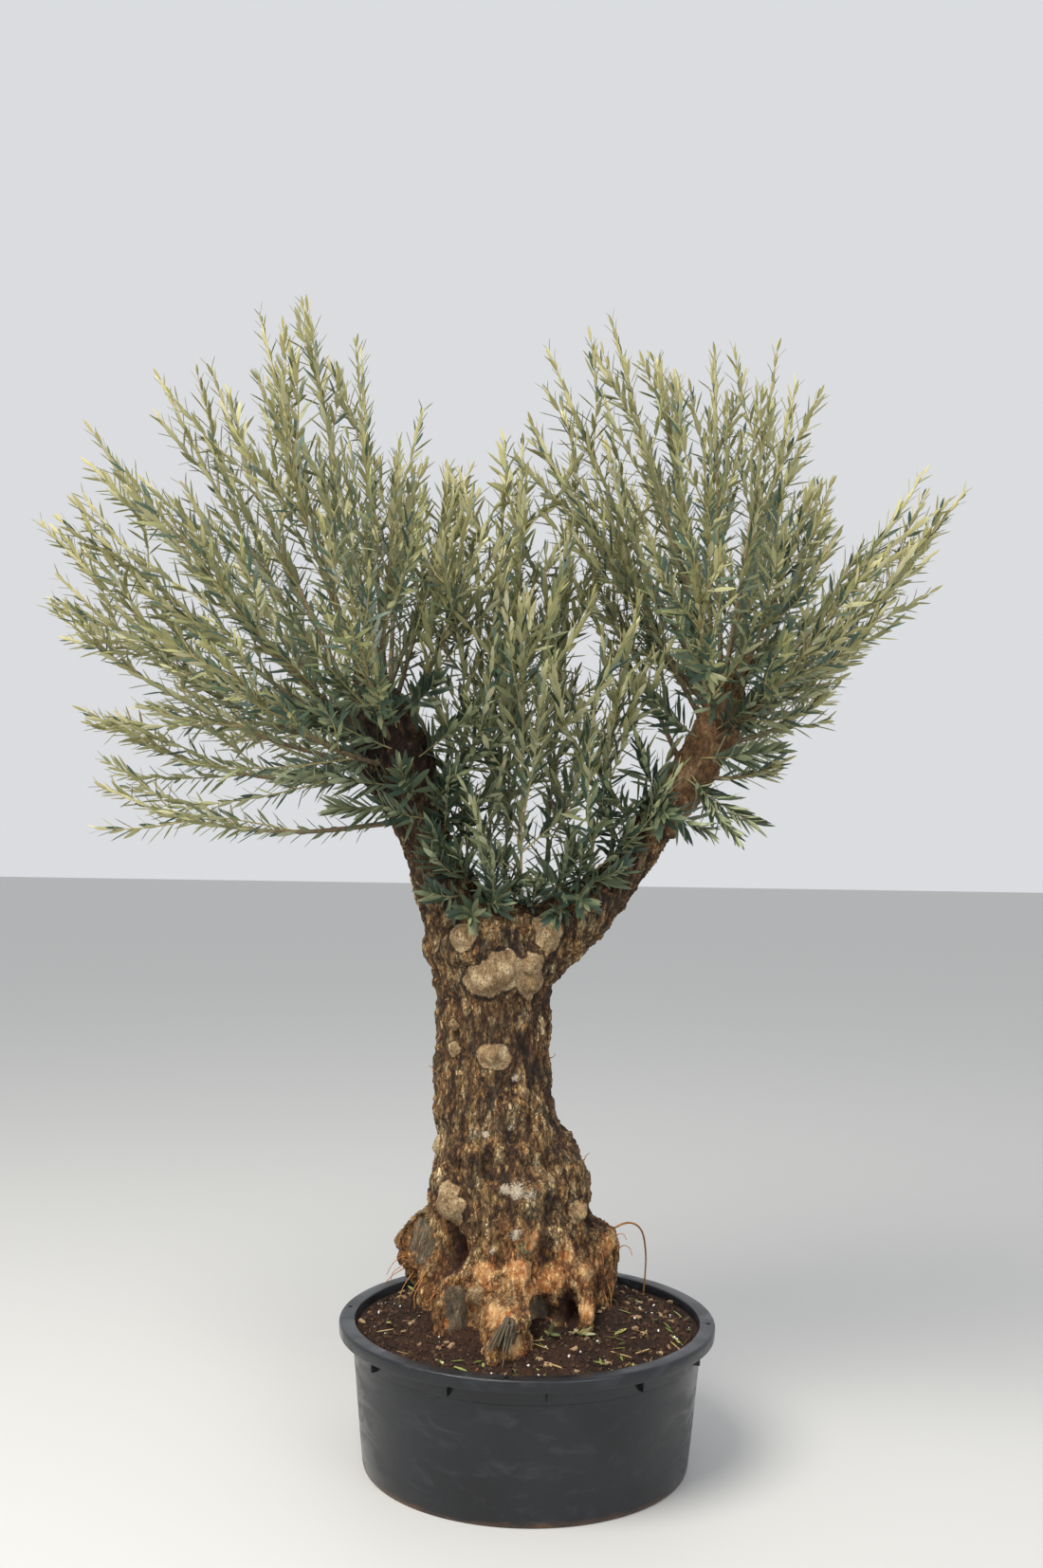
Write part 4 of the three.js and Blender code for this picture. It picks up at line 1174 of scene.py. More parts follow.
work_out(tree, seen, [
    ("gap", "SMOOTHSTEP", "gap", 0.02, 0.22, 1.0, 0.0),
    ("patchy", "SMOOTHSTEP", "patchy", 0.36, 0.6, 0.35, 1.0),
    ("furrow", "MULTIPLY", "gap", "patchy"),
    ("crease", "SUBTRACT", "crease", 0.5),
    ("crease", "ABSOLUTE", "crease"),
    ("crease", "SMOOTHSTEP", "crease", 0.0, 0.05, 1.0, 0.0),
    ("furrow", "MAXIMUM", "furrow", "crease"),
    ("smooth", "MULTIPLY", "burl", 0.82),
    ("smooth", "MAXIMUM", "smooth", "sawn"),
    ("rough", "SUBTRACT", 1.0, "smooth"),
    ("worn", "MULTIPLY_ADD", "lump", -0.6, 1.0),
    ("worn", "MULTIPLY", "rough", "worn"),
    ("furrow", "MULTIPLY", "furrow", "worn"),
    ("lift", "SUBTRACT", "plate", 0.5),
    ("lift", "MULTIPLY", "lift", "Plate Lift"),
    ("flakes", "SUBTRACT", "flakes", 0.5),
    ("lift", "MULTIPLY_ADD", "flakes", 0.012, "lift"),
    ("lift", "MULTIPLY", "lift", "rough"),
    ("cut", "MULTIPLY", "furrow", "Furrow Depth"),
    ("bark", "SUBTRACT", "lift", "cut"),
    ("swell", "SUBTRACT", "swell", 0.5),
    ("swell", "MULTIPLY", "swell", "Lump Height"),
    ("calm", "MULTIPLY_ADD", "smooth", -0.35, 1.0),
    ("swell", "MULTIPLY", "swell", "calm"),
    ("outward", "MULTIPLY_ADD", "swell", 2.0, "bark"),
])
facing = put(tree, "GeometryNodeInputNormal")
offset = put(tree, VECTORS, (facing, seen["outward"]), operation="SCALE")
whole = given["Geometry"]
for name in ("furrow", "plate"):
    whole = put(
        tree, "GeometryNodeStoreNamedAttribute", {"Geometry": whole, "Name": name, "Value": seen[name]},
        data_type="FLOAT", domain="POINT",
    )
whole = put(tree, "GeometryNodeSetPosition", {"Geometry": whole, "Offset": offset})
end_tree(tree, given, put(tree, "GeometryNodeSetShadeSmooth", {"Geometry": whole}))

grow(
    trunk, tree, plate_width=0.018, furrow_depth=0.0062, plate_lift=0.0056, crack_spacing=0.034,
    lump_size=0.058, lump_height=0.017, finish=olive_bark,
)
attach(trunk, "root")
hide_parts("trunk")
print("trunk:", len(trunk.data.polygons), "faces")

# %% [markdown]
# ## Splinters and roots
#
# One front root was torn, not sawn, and ends in grey splinters. They are thin tapered bars that leave
# the stub in a bundle, added to the trunk after the remesh, which would have rounded them away. The
# roots are tapered tubes along smooth curves: one curly root that arches out of the right lump into
# the soil, and eighteen fine ones that hang where the soil was washed off.

# %% Splinters on the torn root
SPLINTERS, SPLINTER_SIDES, SPLINTER_RINGS = 26, 5, 3
SPLINTER_ROOT = Vector((-44, -292, 388))
SPLINTER_WAY = Vector((-0.30, -0.42, -0.86)).normalized()
SPLINTER_BUNDLE, SPLINTER_SPREAD = 9, 0.12


def add_splinter(bm, start, end, radius):
    """A straight bar that narrows to a chisel end."""
    curve = SmoothCurve([start, end])
    add_tube(bm, curve, lambda share: radius * (1.05 - 0.8 * share**2), SPLINTER_SIDES, SPLINTER_RINGS)


rng = np.random.default_rng(11)
bm = bmesh.new()
for i in range(SPLINTERS):
    aside = Vector(rng.normal(0, 1, 3))
    aside -= SPLINTER_WAY * aside.dot(SPLINTER_WAY)
    start = SPLINTER_ROOT + aside * SPLINTER_BUNDLE + SPLINTER_WAY * float(rng.uniform(-22, 6))
    length = float(rng.uniform(30, 80))
    way = (SPLINTER_WAY + aside * SPLINTER_SPREAD).normalized()
    add_splinter(bm, start, start + way * length, float(rng.uniform(2.6, 6.2)))
splinters = in_scene("splinters", mesh_of("splinters", bm))
for name in ("sawn", "plate"):
    store(splinters.data, name, np.ones(len(splinters.data.vertices)))
splinters.data.materials.append(olive_bark)
with bpy.context.temp_override(active_object=trunk, selected_editable_objects=[trunk, splinters]):
    bpy.ops.object.join()
print("trunk with splinters:", len(trunk.data.polygons), "faces")

# %% Finish: fresh olive root, rubbed clean
root_wood, tree, shader, here = finish("fresh_olive_root", 0.7, ior=1.45)
fibre = put(tree, NOISE, (here, per_mm(5), 4.0, 0.65))
root_brown = put(tree, RAMP, (fibre,), [(0.3, "#7a4a22"), (0.55, "#a8743f"), (0.8, "#c99a66")])
dress(tree, shader, root_brown, fibre, 0.8, 0.5)
print(root_wood.name, "has", len(tree.nodes), "nodes")

# %% The curly root and the fine hanging roots
CURLY_ROOT = [
    (190, 70, 503), (238, 96, 516), (274, 146, 488), (290, 192, 424), (292, 220, 362), (288, 232, 300)
]
# Pixel across and down where a fine root leaves the trunk, and how it hangs from there in mm
FINE_ROOTS = [
    (640, 1352, [(6, -8, -14), (10, -12, -46), (4, -14, -84)]),
    (636, 1360, [(8, -10, -20), (14, -8, -52), (18, -10, -70)]),
    (644, 1345, [(8, -6, -20), (5, -10, -58), (12, -10, -96)]),
    (470, 1352, [(-4, -10, -16), (-8, -16, -42), (-4, -18, -66)]),
    (415, 1322, [(-12, -8, 0), (-30, -12, -14), (-44, -12, -40)]),
    (420, 1333, [(-10, -12, -4), (-30, -18, -20), (-34, -20, -44)]),
    (617, 1224, [(6, -6, 8), (10, -8, 18), (18, -8, 24)]),
    (459, 1130, [(-5, -4, 4), (-10, -4, 12), (-18, -4, 16)]),
    (583, 1118, [(6, -4, 4), (12, -6, 6), (18, -6, 14)]),
    (597, 1396, [(0, -12, 6), (4, -20, -10), (10, -22, -40)]),
    (660, 1318, [(12, -4, 6), (24, -4, 0), (30, -4, -16)]),
    (655, 1303, [(10, -6, 8), (22, -8, 8), (28, -10, -4)]),
    (428, 1338, [(-14, -14, -4), (-34, -22, -16), (-52, -30, -34)]),
    (436, 1342, [(-10, -16, -8), (-24, -30, -30), (-30, -44, -52)]),
    (446, 1348, [(-6, -14, -10), (-18, -28, -32), (-16, -38, -60)]),
    (456, 1352, [(4, -14, -12), (-4, -26, -38), (6, -36, -64)]),
    (464, 1355, [(-8, -12, -8), (-22, -26, -24), (-40, -36, -34)]),
    (450, 1340, [(-4, -18, -4), (-20, -34, -20), (-34, -44, -46)]),
]
ROOT_SUNK = 4
skin = skin_tree(trunk.data)


def root_piece(name, curves, radius, narrow, sides, steps):
    bm = bmesh.new()
    for curve in curves:
        add_tube(bm, curve, lambda share: radius * (1 - narrow * share), sides, steps)
    piece = in_scene(name, mesh_of(name, bm))
    piece.data.shade_smooth()
    piece.data.materials.append(root_wood)
    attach(piece, "root")
    return piece


curly_root = root_piece("curly_root_tapered", [SmoothCurve(CURLY_ROOT)], 2.7, 0.35, 10, 60)
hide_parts("curly_root")
hanging = []
for across, down, path in FINE_ROOTS:
    spot, facing = on_skin(across, down)
    start = spot * 1000 - facing * ROOT_SUNK
    hanging.append(SmoothCurve([start, *(start + Vector(step) for step in path)]))
root_piece("fine_roots", hanging, 1.5, 0.5, 6, 12)
print("roots:", 1 + len(hanging))

# %% [markdown]
# ## The soil
#
# Potting soil is dark, moist and crumbly. It lies one or two centimetres below the rim and rises in a
# mound to the trunk, raked down at the front. The body is a polar grid that is closed at the sides and
# below. One mask says where the ground is loose enough for clods, away from the tub, and another where
# it is open, away from the wood too, so that litter can lie there.

# %% The body of the soil
SOIL_EDGE_HEIGHT, SOIL_MOUND, MOUND_RADIUS = 304, 62, 190
RAKED_FROM, RAKED_TO, RAKED_SHARE = 60, 260, 0.55
SOIL_RINGS, SOIL_SIDES = 84, 190
SOIL_CLEARANCE = 0.5
SOIL_RADIUS = tub_inner_radius(SOIL_EDGE_HEIGHT / 1000) * 1000 - SOIL_CLEARANCE
SOIL_FOOT, SOIL_WAIST, FOOT_CORNER = TUB_FLOOR + 0.0025, 0.15, 0.008
WAVE, WAVE_ALONG_X, WAVE_ALONG_Y, RIPPLE, RIPPLE_LENGTH = 5, 47, 61, 3, 29
LOOSE_OVER, OPEN_OVER, CLEAR_OF_WOOD = 0.012, 0.004, 0.003


def soil_height(x, y):
    mound = 1 - smooth_step(math.hypot(x, y), MOUND_RADIUS, SOIL_RADIUS)
    relief = WAVE * math.sin(x / WAVE_ALONG_X) * math.cos(y / WAVE_ALONG_Y)
    relief += RIPPLE * math.sin((x + y) / RIPPLE_LENGTH)
    raked = 1 - RAKED_SHARE * smooth_step(-y, RAKED_FROM, RAKED_TO)
    return SOIL_EDGE_HEIGHT + SOIL_MOUND * mound * raked + mound * relief


edge_height = SOIL_EDGE_HEIGHT / 1000
soil = spun(
    "soil_body",
    [(0, SOIL_FOOT), (tub_inner_radius(SOIL_FOOT) - FOOT_CORNER, SOIL_FOOT)]
    + [(tub_inner_radius(SOIL_WAIST) - SOIL_CLEARANCE / 1000, SOIL_WAIST)]
    + [(SOIL_RADIUS / 1000 * i / SOIL_RINGS, edge_height) for i in range(SOIL_RINGS, -1, -1)],
    SOIL_SIDES,
)
points = vertex_array(soil.data)
top = points[:, 2] > edge_height - 0.004
for i in np.flatnonzero(top):
    points[i, 2] = soil_height(points[i, 0] * 1000, points[i, 1] * 1000) / 1000
soil.data.vertices.foreach_set("co", points.ravel())
from_tub = SOIL_RADIUS / 1000 - np.hypot(points[:, 0], points[:, 1])
loose = np.clip(from_tub / LOOSE_OVER, 0, 1) * top
open_ground = np.clip(from_tub / OPEN_OVER - 2, 0, 1) * top
for i in np.flatnonzero(open_ground > 0):
    spot, facing, _, _ = skin.find_nearest(Vector(points[i]))
    if (Vector(points[i]) - spot).dot(facing) < CLEAR_OF_WOOD:
        open_ground[i] = 0
store(soil.data, "loose", loose)
store(soil.data, "open_ground", open_ground)
print("open ground:", int((open_ground > 0.5).sum()), "of", int(top.sum()), "points of the top")

# %% Finish: moist potting soil
potting_soil, tree, shader, here = finish("moist_potting_soil", 0.95, ior=1.4)
seen = {
    "damp": put(tree, NOISE, (here, per_mm(90), 3.0)),
    "crumbs": put(tree, NOISE, (here, per_mm(6), 5.0, 0.75)),
}
work_out(tree, seen, [
    ("tone", "MULTIPLY", "damp", 0.35),
    ("tone", "MULTIPLY_ADD", "crumbs", 0.7, "tone"),
])
soil_brown = [(0.36, "#140a05"), (0.52, "#2a180d"), (0.66, "#432a1a"), (0.8, "#5e432d")]
dress(tree, shader, put(tree, RAMP, (seen["tone"],), soil_brown), seen["crumbs"], 4.0)
print(potting_soil.name, "has", len(tree.nodes), "nodes")

# %% A tree that raises clods and crumbs
SOIL_SHARP_TURN = math.radians(60)

tree, given = new_tree(
    "crumbly ground",
    [
        ("Clod Size", "Float", 0.03), ("Clod Height", "Float", 0.012),
        ("Crumb Size", "Float", 0.008), ("Crumb Height", "Float", 0.004),
    ],
)
here = put(tree, "GeometryNodeInputPosition")
seen = dict(given.items()) | {"raised": 0.0, "loose": put(tree, NAMED, ("loose",), data_type="FLOAT")}
for kind in ("Clod", "Crumb"):
    work_out(tree, seen, [("scale", "DIVIDE", 1.0, kind + " Size")])
    seen["bumps"] = put(tree, NOISE, (here, seen["scale"], 3.0))
    work_out(tree, seen, [
        ("bumps", "SUBTRACT", "bumps", 0.5),
        ("raised", "MULTIPLY_ADD", "bumps", kind + " Height", "raised"),
    ])
work_out(tree, seen, [("raised", "MULTIPLY", "raised", "loose")])
offset = put(tree, XYZ, {"Z": seen["raised"]})
end_tree(tree, given, put(tree, "GeometryNodeSetPosition", {"Geometry": given["Geometry"], "Offset": offset}))

grow(
    soil, tree, clod_size=0.034, clod_height=0.02, crumb_size=0.011, crumb_height=0.012, finish=potting_soil
)
soil.data.shade_smooth()
soil.data.set_sharp_from_angle(angle=SOIL_SHARP_TURN)
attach(soil, "root")
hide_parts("soil")
print("soil:", len(soil.data.polygons), "faces")

# %% [markdown]
# ## What lies on the soil
#
# Crumbs of earth, chips of bark, white grains of perlite, bits of straw and, later, fallen olive leaves
# lie all over the open ground. One Geometry Nodes tree scatters any of them: it takes the grain, how
# many lie on a square metre, their sizes, how far they tilt and a seed.

# %% A tree that scatters grains on the ground
RANDOM, STORE = "FunctionNodeRandomValue", "GeometryNodeStoreNamedAttribute"
FULL_TURN = 6.283

tree, given = new_tree(
    "litter on the ground",
    [
        ("Grain", "Object", None), ("Per Square Metre", "Float", 100.0), ("Smallest", "Float", 0.5),
        ("Largest", "Float", 1.5), ("Tilt", "Float", 0.4), ("Height", "Float", 0.001), ("Seed", "Int", 1),
    ],
)
seen = dict(given.items()) | {"open": put(tree, NAMED, ("open_ground",), data_type="FLOAT")}
work_out(tree, seen, [
    ("density", "MULTIPLY", "Per Square Metre", "open"),
    ("tilt back", "MULTIPLY", "Tilt", -1.0),
])
scattered = put(
    tree, "GeometryNodeDistributePointsOnFaces",
    {"Mesh": given["Geometry"], "Density": seen["density"], "Seed": given["Seed"]}, take="Points",
)
least_turn = put(tree, XYZ, (seen["tilt back"], seen["tilt back"], 0.0))
most_turn = put(tree, XYZ, (given["Tilt"], given["Tilt"], FULL_TURN))
turned = {0: least_turn, 1: most_turn, "Seed": given["Seed"]}
sized = {0: given["Smallest"], 1: given["Largest"], "Seed": given["Seed"]}
toned = {0: 0.0, 1: 1.0, "Seed": given["Seed"]}
laid = put(tree, "GeometryNodeInstanceOnPoints", {
    "Points": put(
        tree, "GeometryNodeSetPosition",
        {"Geometry": scattered, "Offset": put(tree, XYZ, {"Z": given["Height"]})},
    ),
    "Instance": put(tree, "GeometryNodeObjectInfo", (given["Grain"],), take="Geometry"),
    "Rotation": put(tree, RANDOM, turned, data_type="FLOAT_VECTOR"),
    "Scale": put(tree, RANDOM, sized, data_type="FLOAT"),
})
tone = put(tree, RANDOM, toned, data_type="FLOAT")
kept = {"Geometry": laid, "Name": "tone", "Value": tone}
end_tree(tree, given, put(tree, STORE, kept, data_type="FLOAT", domain="INSTANCE"))
litter_tree = tree
print(tree.name, "has", len(tree.nodes), "nodes")


# %% Grains to scatter, and how they lie
def grain_of(name, size, shape, seed, unevenness=0.35):
    """A small irregular closed body of the given size in mm."""
    rng = np.random.default_rng(seed)
    bm = bmesh.new()
    if shape == "round":
        bmesh.ops.create_icosphere(bm, subdivisions=1, radius=0.5)
    else:
        bmesh.ops.create_cube(bm, size=1.0)
        lengthwise = [e for e in bm.edges if abs(e.verts[0].co.x - e.verts[1].co.x) > 0.5]
        bmesh.ops.subdivide_edges(bm, edges=lengthwise, cuts=2)
    for v in bm.verts:
        v.co += Vector(rng.uniform(-unevenness, unevenness, 3)) * 0.5
        v.co = Vector((v.co.x * size[0], v.co.y * size[1], v.co.z * size[2])) / 1000
    return bpy.data.objects.new(name, mesh_of(name, bm))


def toned_finish(name, roughness, stops):
    """A finish whose colour follows each grain's own tone."""
    material, tree, shader, here = finish(name, roughness, ior=1.45)
    seen = {
        "spots": put(tree, NOISE, (here, per_mm(3), 3.0)),
        "tone": put(tree, ATTRIBUTE, take="Fac", attribute_name="tone"),
    }
    work_out(tree, seen, [
        ("tone", "MULTIPLY_ADD", "tone", 0.75, -0.12),
        ("tone", "MULTIPLY_ADD", "spots", 0.5, "tone"),
    ])
    tree.links.new(put(tree, RAMP, (seen["tone"],), stops), shader["Base Color"])
    return material


def scatter(name, grain, slot, look, **sizes):
    """Scatters one kind of grain over the soil, as a piece of its own."""
    piece = in_scene(name, soil.data.copy())
    grow(piece, litter_tree, grain=grain, finish=toned_finish(*look), **sizes)
    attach(piece, "root")
    return piece


# name, size of a grain in mm, shape, per square metre, smallest, largest, tilt, height in m, slot, finish
LITTER = [
    ("soil_crumbs", (8, 7, 6), "round", 7600.0, 0.3, 1.5, 1.5, 0.001, "potting_soil",
     ("crumbled_potting_soil", 0.95, [(0.2, "#120a06"), (0.5, "#2a1a10"), (0.85, "#4c3626")])),
    ("bark_chips", (12, 6, 3), "flat", 420.0, 0.4, 1.5, 0.5, 0.002, "bark",
     ("dry_bark_chips", 0.85, [(0.2, "#4a3220"), (0.5, "#74553a"), (0.9, "#a78d69")])),
    ("perlite_grains", (4.2, 4, 3.6), "round", 260.0, 0.5, 1.6, 1.5, 0.0025, "potting_soil",
     ("expanded_perlite", 0.9, [(0.2, "#bdb8ae"), (0.8, "#efece6")])),
    ("straw_bits", (34, 1.8, 1.5), "flat", 90.0, 0.4, 1.3, 0.35, 0.004, "root_wood",
     ("dry_straw", 0.7, [(0.2, "#7b5c38"), (0.8, "#bb9f6c")])),
]
FIRST_LITTER_SEED = 21
for seed, row in enumerate(LITTER, FIRST_LITTER_SEED):
    name, size, shape, many, least, most, tilt, height, slot, look = row
    grain = grain_of(name + "_grain", size, shape, seed)
    piece = scatter(
        name, grain, slot, look, per_square_metre=many, smallest=least, largest=most, tilt=tilt,
        height=height, seed=seed,
    )
    bpy.data.objects.remove(grain)
    print(f"{name}: {len(piece.data.polygons)} faces")

# %% [markdown]
# ## Olive leaves
#
# An olive leaf is a narrow lance, five or six centimetres long, leathery, dark grey green above and
# felted silver below. There are nearly nineteen thousand here, so one leaf has few faces: a flat
# blade with a keel below it, where the midrib stands out. It grows along +Z with its upper side
# towards -Y, and its tip bends a little back. The leaves outside the crown are the bright ones, partly
# as the paler young leaves at the tips and partly as painted light, with painted shade inside the crown.


# %% Finishes: olive leaf, waxy above and felted below
def leaf_finish(name, roughness, ior, inside, outside, spot_size, detail, spotted, spot):
    """A side of a leaf: its colour follows its own tone, and how far outside in the crown it is, which stands
    partly for paler young leaves and partly for painted light and shade.
    """
    material, tree, shader, here = finish(name, roughness, ior=ior)
    seen = {mask: put(tree, ATTRIBUTE, take="Fac", attribute_name=mask) for mask in ("outer", "tone")}
    seen |= {
        "inside": put(tree, RAMP, (seen["tone"],), inside),
        "outside": put(tree, RAMP, (seen["tone"],), outside),
        "spots": put(tree, NOISE, (here, per_mm(spot_size), detail)),
    }
    work_out(tree, seen, [
        ("colour", "MIX", "outer", "inside", "outside"),
        ("spots", "MULTIPLY", "spots", spotted),
        ("colour", "MIX", "spots", "colour", spot),
    ])
    tree.links.new(seen["colour"], shader["Base Color"])
    return material


upper_side = leaf_finish(
    "olive_leaf_upper_waxy", 0.46, 1.48,
    [(0.0, "#2c3b33"), (0.5, "#485947"), (1.0, "#748267")],
    [(0.0, "#2b413b"), (0.36, "#3f5848"), (0.48, "#767a4b"), (0.76, "#9a965c"), (1.0, "#bdb57e")],
    14, 2.0, 0.3, "#3b4a35",
)
underside = leaf_finish(
    "olive_leaf_underside_felted", 0.8, 1.4,
    [(0.0, "#6c7a60"), (1.0, "#9aa688")],
    [(0.0, "#98925c"), (0.5, "#b9af79"), (1.0, "#d2c99f")],
    6, 3.0, 0.25, "#7d8660",
)
print("leaf finishes:", upper_side.name, "and", underside.name)

# %% Finish: young olive wood, green where it is thin
THIN_SHOOT, THICK_SHOOT = 0.002, 0.006

young_wood, tree, shader, here = finish("young_olive_wood", 0.7, ior=1.45)
streaks = put(tree, NOISE, (here, per_mm(10), 4.0))
seen = {
    "thickness": put(tree, ATTRIBUTE, take="Fac", attribute_name="thickness"),
    "green": put(tree, RAMP, (streaks,), [(0.3, "#8c7f50"), (0.7, "#aaa070")]),
    "brown": put(tree, RAMP, (streaks,), [(0.3, "#5c4a36"), (0.7, "#7e6b50")]),
}
work_out(tree, seen, [
    ("woody", "SMOOTHSTEP", "thickness", THIN_SHOOT, THICK_SHOOT),
    ("colour", "MIX", "woody", "green", "brown"),
])
dress(tree, shader, seen["colour"], streaks, 0.6, 0.4)
print(young_wood.name, "has", len(tree.nodes), "nodes")

# %% One leaf
LEAF_LENGTH, LEAF_WIDTH, LEAF_KEEL, LEAF_BEND = 0.056, 0.0101, 0.0013, 0.0046
# Share of the leaf's length, and its width there as a share of the widest
LEAF_STATIONS = [(0.2, 0.66), (0.52, 1.0), (0.82, 0.62)]
LEAF_SHARP_TURN = math.radians(40)

points = [(0.0, 0.0, 0.0)]
for share, wide in LEAF_STATIONS:
    back = LEAF_BEND * share**2
    for side, keel in ((-1, 0), (1, 0), (0, 1)):
        points.append((side * wide * LEAF_WIDTH / 2, back + keel * LEAF_KEEL, share * LEAF_LENGTH))
points.append((0.0, LEAF_BEND, LEAF_LENGTH))
left, right, keel = 0, 1, 2
last = 1 + 3 * (len(LEAF_STATIONS) - 1)
faces, below = [], []
for first, second, is_below in ((left, right, 0), (right, keel, 1), (keel, left, 1)):
    faces.append((0, 1 + second, 1 + first))
    for near in range(1, last, 3):
        far = near + 3
        faces.append((near + first, near + second, far + second, far + first))
    faces.append((last + first, last + second, len(points) - 1))
    below += [is_below] * (len(LEAF_STATIONS) + 1)
leaf_mesh = bpy.data.meshes.new("olive_leaf")
leaf_mesh.from_pydata(points, [], faces)
bm = bmesh.new()
bm.from_mesh(leaf_mesh)
bmesh.ops.recalc_face_normals(bm, faces=bm.faces)
bm.to_mesh(leaf_mesh)
bm.free()
leaf_mesh.shade_smooth()
leaf_mesh.set_sharp_from_angle(angle=LEAF_SHARP_TURN)
leaf_mesh.materials.append(upper_side)
leaf_mesh.materials.append(underside)
leaf_mesh.polygons.foreach_set("material_index", below)
leaf = bpy.data.objects.new("olive_leaf", leaf_mesh)
leaf_mesh.calc_loop_triangles()
print("one leaf:", len(leaf_mesh.loop_triangles), "triangles")

# %% Fallen leaves on the soil
FALLEN_PER_SQUARE_METRE, FALLEN_SEED = 320.0, 31

lying_mesh = leaf_mesh.copy()
lying_mesh.transform(Matrix.Rotation(-math.pi / 2, 4, "X"))
lying_leaf = bpy.data.objects.new("lying_leaf", lying_mesh)
dry_leaf = [(0.15, "#46562a"), (0.45, "#71803c"), (0.7, "#9aa35c"), (0.95, "#a88f55")]
fallen = scatter(
    "fallen_leaves", lying_leaf, "leaf", ("fallen_olive_leaf", 0.6, dry_leaf),
    per_square_metre=FALLEN_PER_SQUARE_METRE, smallest=0.3, largest=0.85, tilt=0.45, height=0.004,
    seed=FALLEN_SEED,
)
print("fallen leaves:", len(fallen.data.polygons) // len(leaf_mesh.polygons))

# %% [markdown]
# ## How a shoot carries its leaves
#
# Olive leaves stand in opposite pairs, and each pair is turned by a quarter from the one before it.
# They lean away from the stem at first and close up towards the tip. That is a rule along a path, so it
# is a Geometry Nodes tree: it takes bare lines with a thickness, a leaf size and a lean at each point,
# sweeps the stems, and sets two leaves at every step. The leaves bring their own two finishes, and the
# stems are marked, so that only they take the tree's finish.

# %% A tree that dresses lines with stems and leaves
RESAMPLE, ROTATE = "GeometryNodeResampleCurve", "FunctionNodeRotateRotation"
STEM_SIDES, LEAST_LEAF, SIZE_JITTER, OTHER_SIDE_SEED = 5, 0.05, 0.24, 40.0

tree, given = new_tree(
    "leafy shoots",
    [
        ("Leaf", "Object", None), ("Pair Spacing", "Float", 0.015), ("Stem Step", "Float", 0.04),
        ("Lean Jitter", "Float", 0.2), ("Turn Jitter", "Float", 0.5), ("Seed", "Int", 1),
    ],
)
seen = dict(given.items()) | {"place": put(tree, "GeometryNodeInputIndex")}
for name in ("thickness", "leaf_size", "lean"):
    seen[name] = put(tree, NAMED, (name,), data_type="FLOAT")
lines = put(tree, "GeometryNodeMeshToCurve", {"Mesh": given["Geometry"]})
stems = put(tree, "GeometryNodeCurveToMesh", {
    "Curve": put(tree, RESAMPLE, {"Curve": lines, "Length": given["Stem Step"]}, mode="LENGTH"),
    "Profile Curve": put(
        tree, "GeometryNodeCurvePrimitiveCircle", {"Resolution": STEM_SIDES, "Radius": 1.0}
    ),
    "Scale": seen["thickness"],
    "Fill Caps": True,
})
stems = put(
    tree, STORE, {"Geometry": stems, "Name": "stem", "Value": True}, data_type="BOOLEAN", domain="FACE"
)
leaf_nodes = put(tree, RESAMPLE, {"Curve": lines, "Length": given["Pair Spacing"]}, mode="LENGTH")
upright = put(
    tree, "FunctionNodeAlignRotationToVector", {"Vector": put(tree, "GeometryNodeInputTangent")}, axis="Z"
)
one_leaf = put(tree, "GeometryNodeObjectInfo", (given["Leaf"],), take="Geometry")
has_leaf = put(tree, "FunctionNodeCompare", (seen["leaf_size"], LEAST_LEAF), operation="GREATER_THAN")
print("a stem has", STEM_SIDES, "sides")

# %% Two leaves at every step
parts = [stems]
for pair_side in (0, 1):
    work_out(tree, seen, [("seed", "ADD", "Seed", OTHER_SIDE_SEED * pair_side)])
    jitter = {0: (-1.0, -1.0, -1.0), 1: (1.0, 1.0, 1.0), "Seed": seen["seed"]}
    shake = put(tree, PARTS, (put(tree, RANDOM, jitter, data_type="FLOAT_VECTOR"),)).node.outputs
    seen |= {"shake " + axis.lower(): shake[axis] for axis in "XYZ"}
    work_out(tree, seen, [
        ("turn", "MULTIPLY_ADD", "place", math.pi / 2, math.pi * pair_side),
        ("turn", "MULTIPLY_ADD", "shake x", "Turn Jitter", "turn"),
        ("leaning", "MULTIPLY_ADD", "shake y", "Lean Jitter", "lean"),
        ("leaning", "MULTIPLY", "leaning", -1.0),
        ("size", "MULTIPLY_ADD", "shake z", SIZE_JITTER, 1.0),
        ("size", "MULTIPLY", "leaf_size", "size"),
    ])
    about, tipped = put(tree, XYZ, {"Z": seen["turn"]}), put(tree, XYZ, {"X": seen["leaning"]})
    turned = put(tree, ROTATE, {"Rotation": upright, "Rotate By": about}, rotation_space="LOCAL")
    turned = put(tree, ROTATE, {"Rotation": turned, "Rotate By": tipped}, rotation_space="LOCAL")
    leaves = put(tree, "GeometryNodeInstanceOnPoints", {
        "Points": leaf_nodes, "Selection": has_leaf, "Instance": one_leaf, "Rotation": turned,
        "Scale": seen["size"],
    })
    tone = put(tree, RANDOM, {0: 0.0, 1: 1.0, "Seed": seen["seed"]}, data_type="FLOAT")
    kept = {"Geometry": leaves, "Name": "tone", "Value": tone}
    parts.append(put(tree, STORE, kept, data_type="FLOAT", domain="INSTANCE"))
joined = put(tree, "GeometryNodeJoinGeometry")
for part in parts:
    tree.links.new(part, joined.node.inputs[0])
end_tree(tree, given, joined, chosen=put(tree, NAMED, ("stem",), data_type="BOOLEAN"))
leafy_shoots = tree
print(tree.name, "has", len(tree.nodes), "nodes")

# %% [markdown]
# ## Where the boughs go
#
# Each bough rises from a limb or from the fork to a tip that the photograph shows, or, at the back, to
# one that rounds off the head. The curve, its first two side shoots and their turns are the ones of the
# CAD model. More side shoots fill each bough, long and steep as the tree grew them after it was
# pollarded. A shoot that would leave the crown's outline or the CAD model's box is shortened until it
# stays inside.

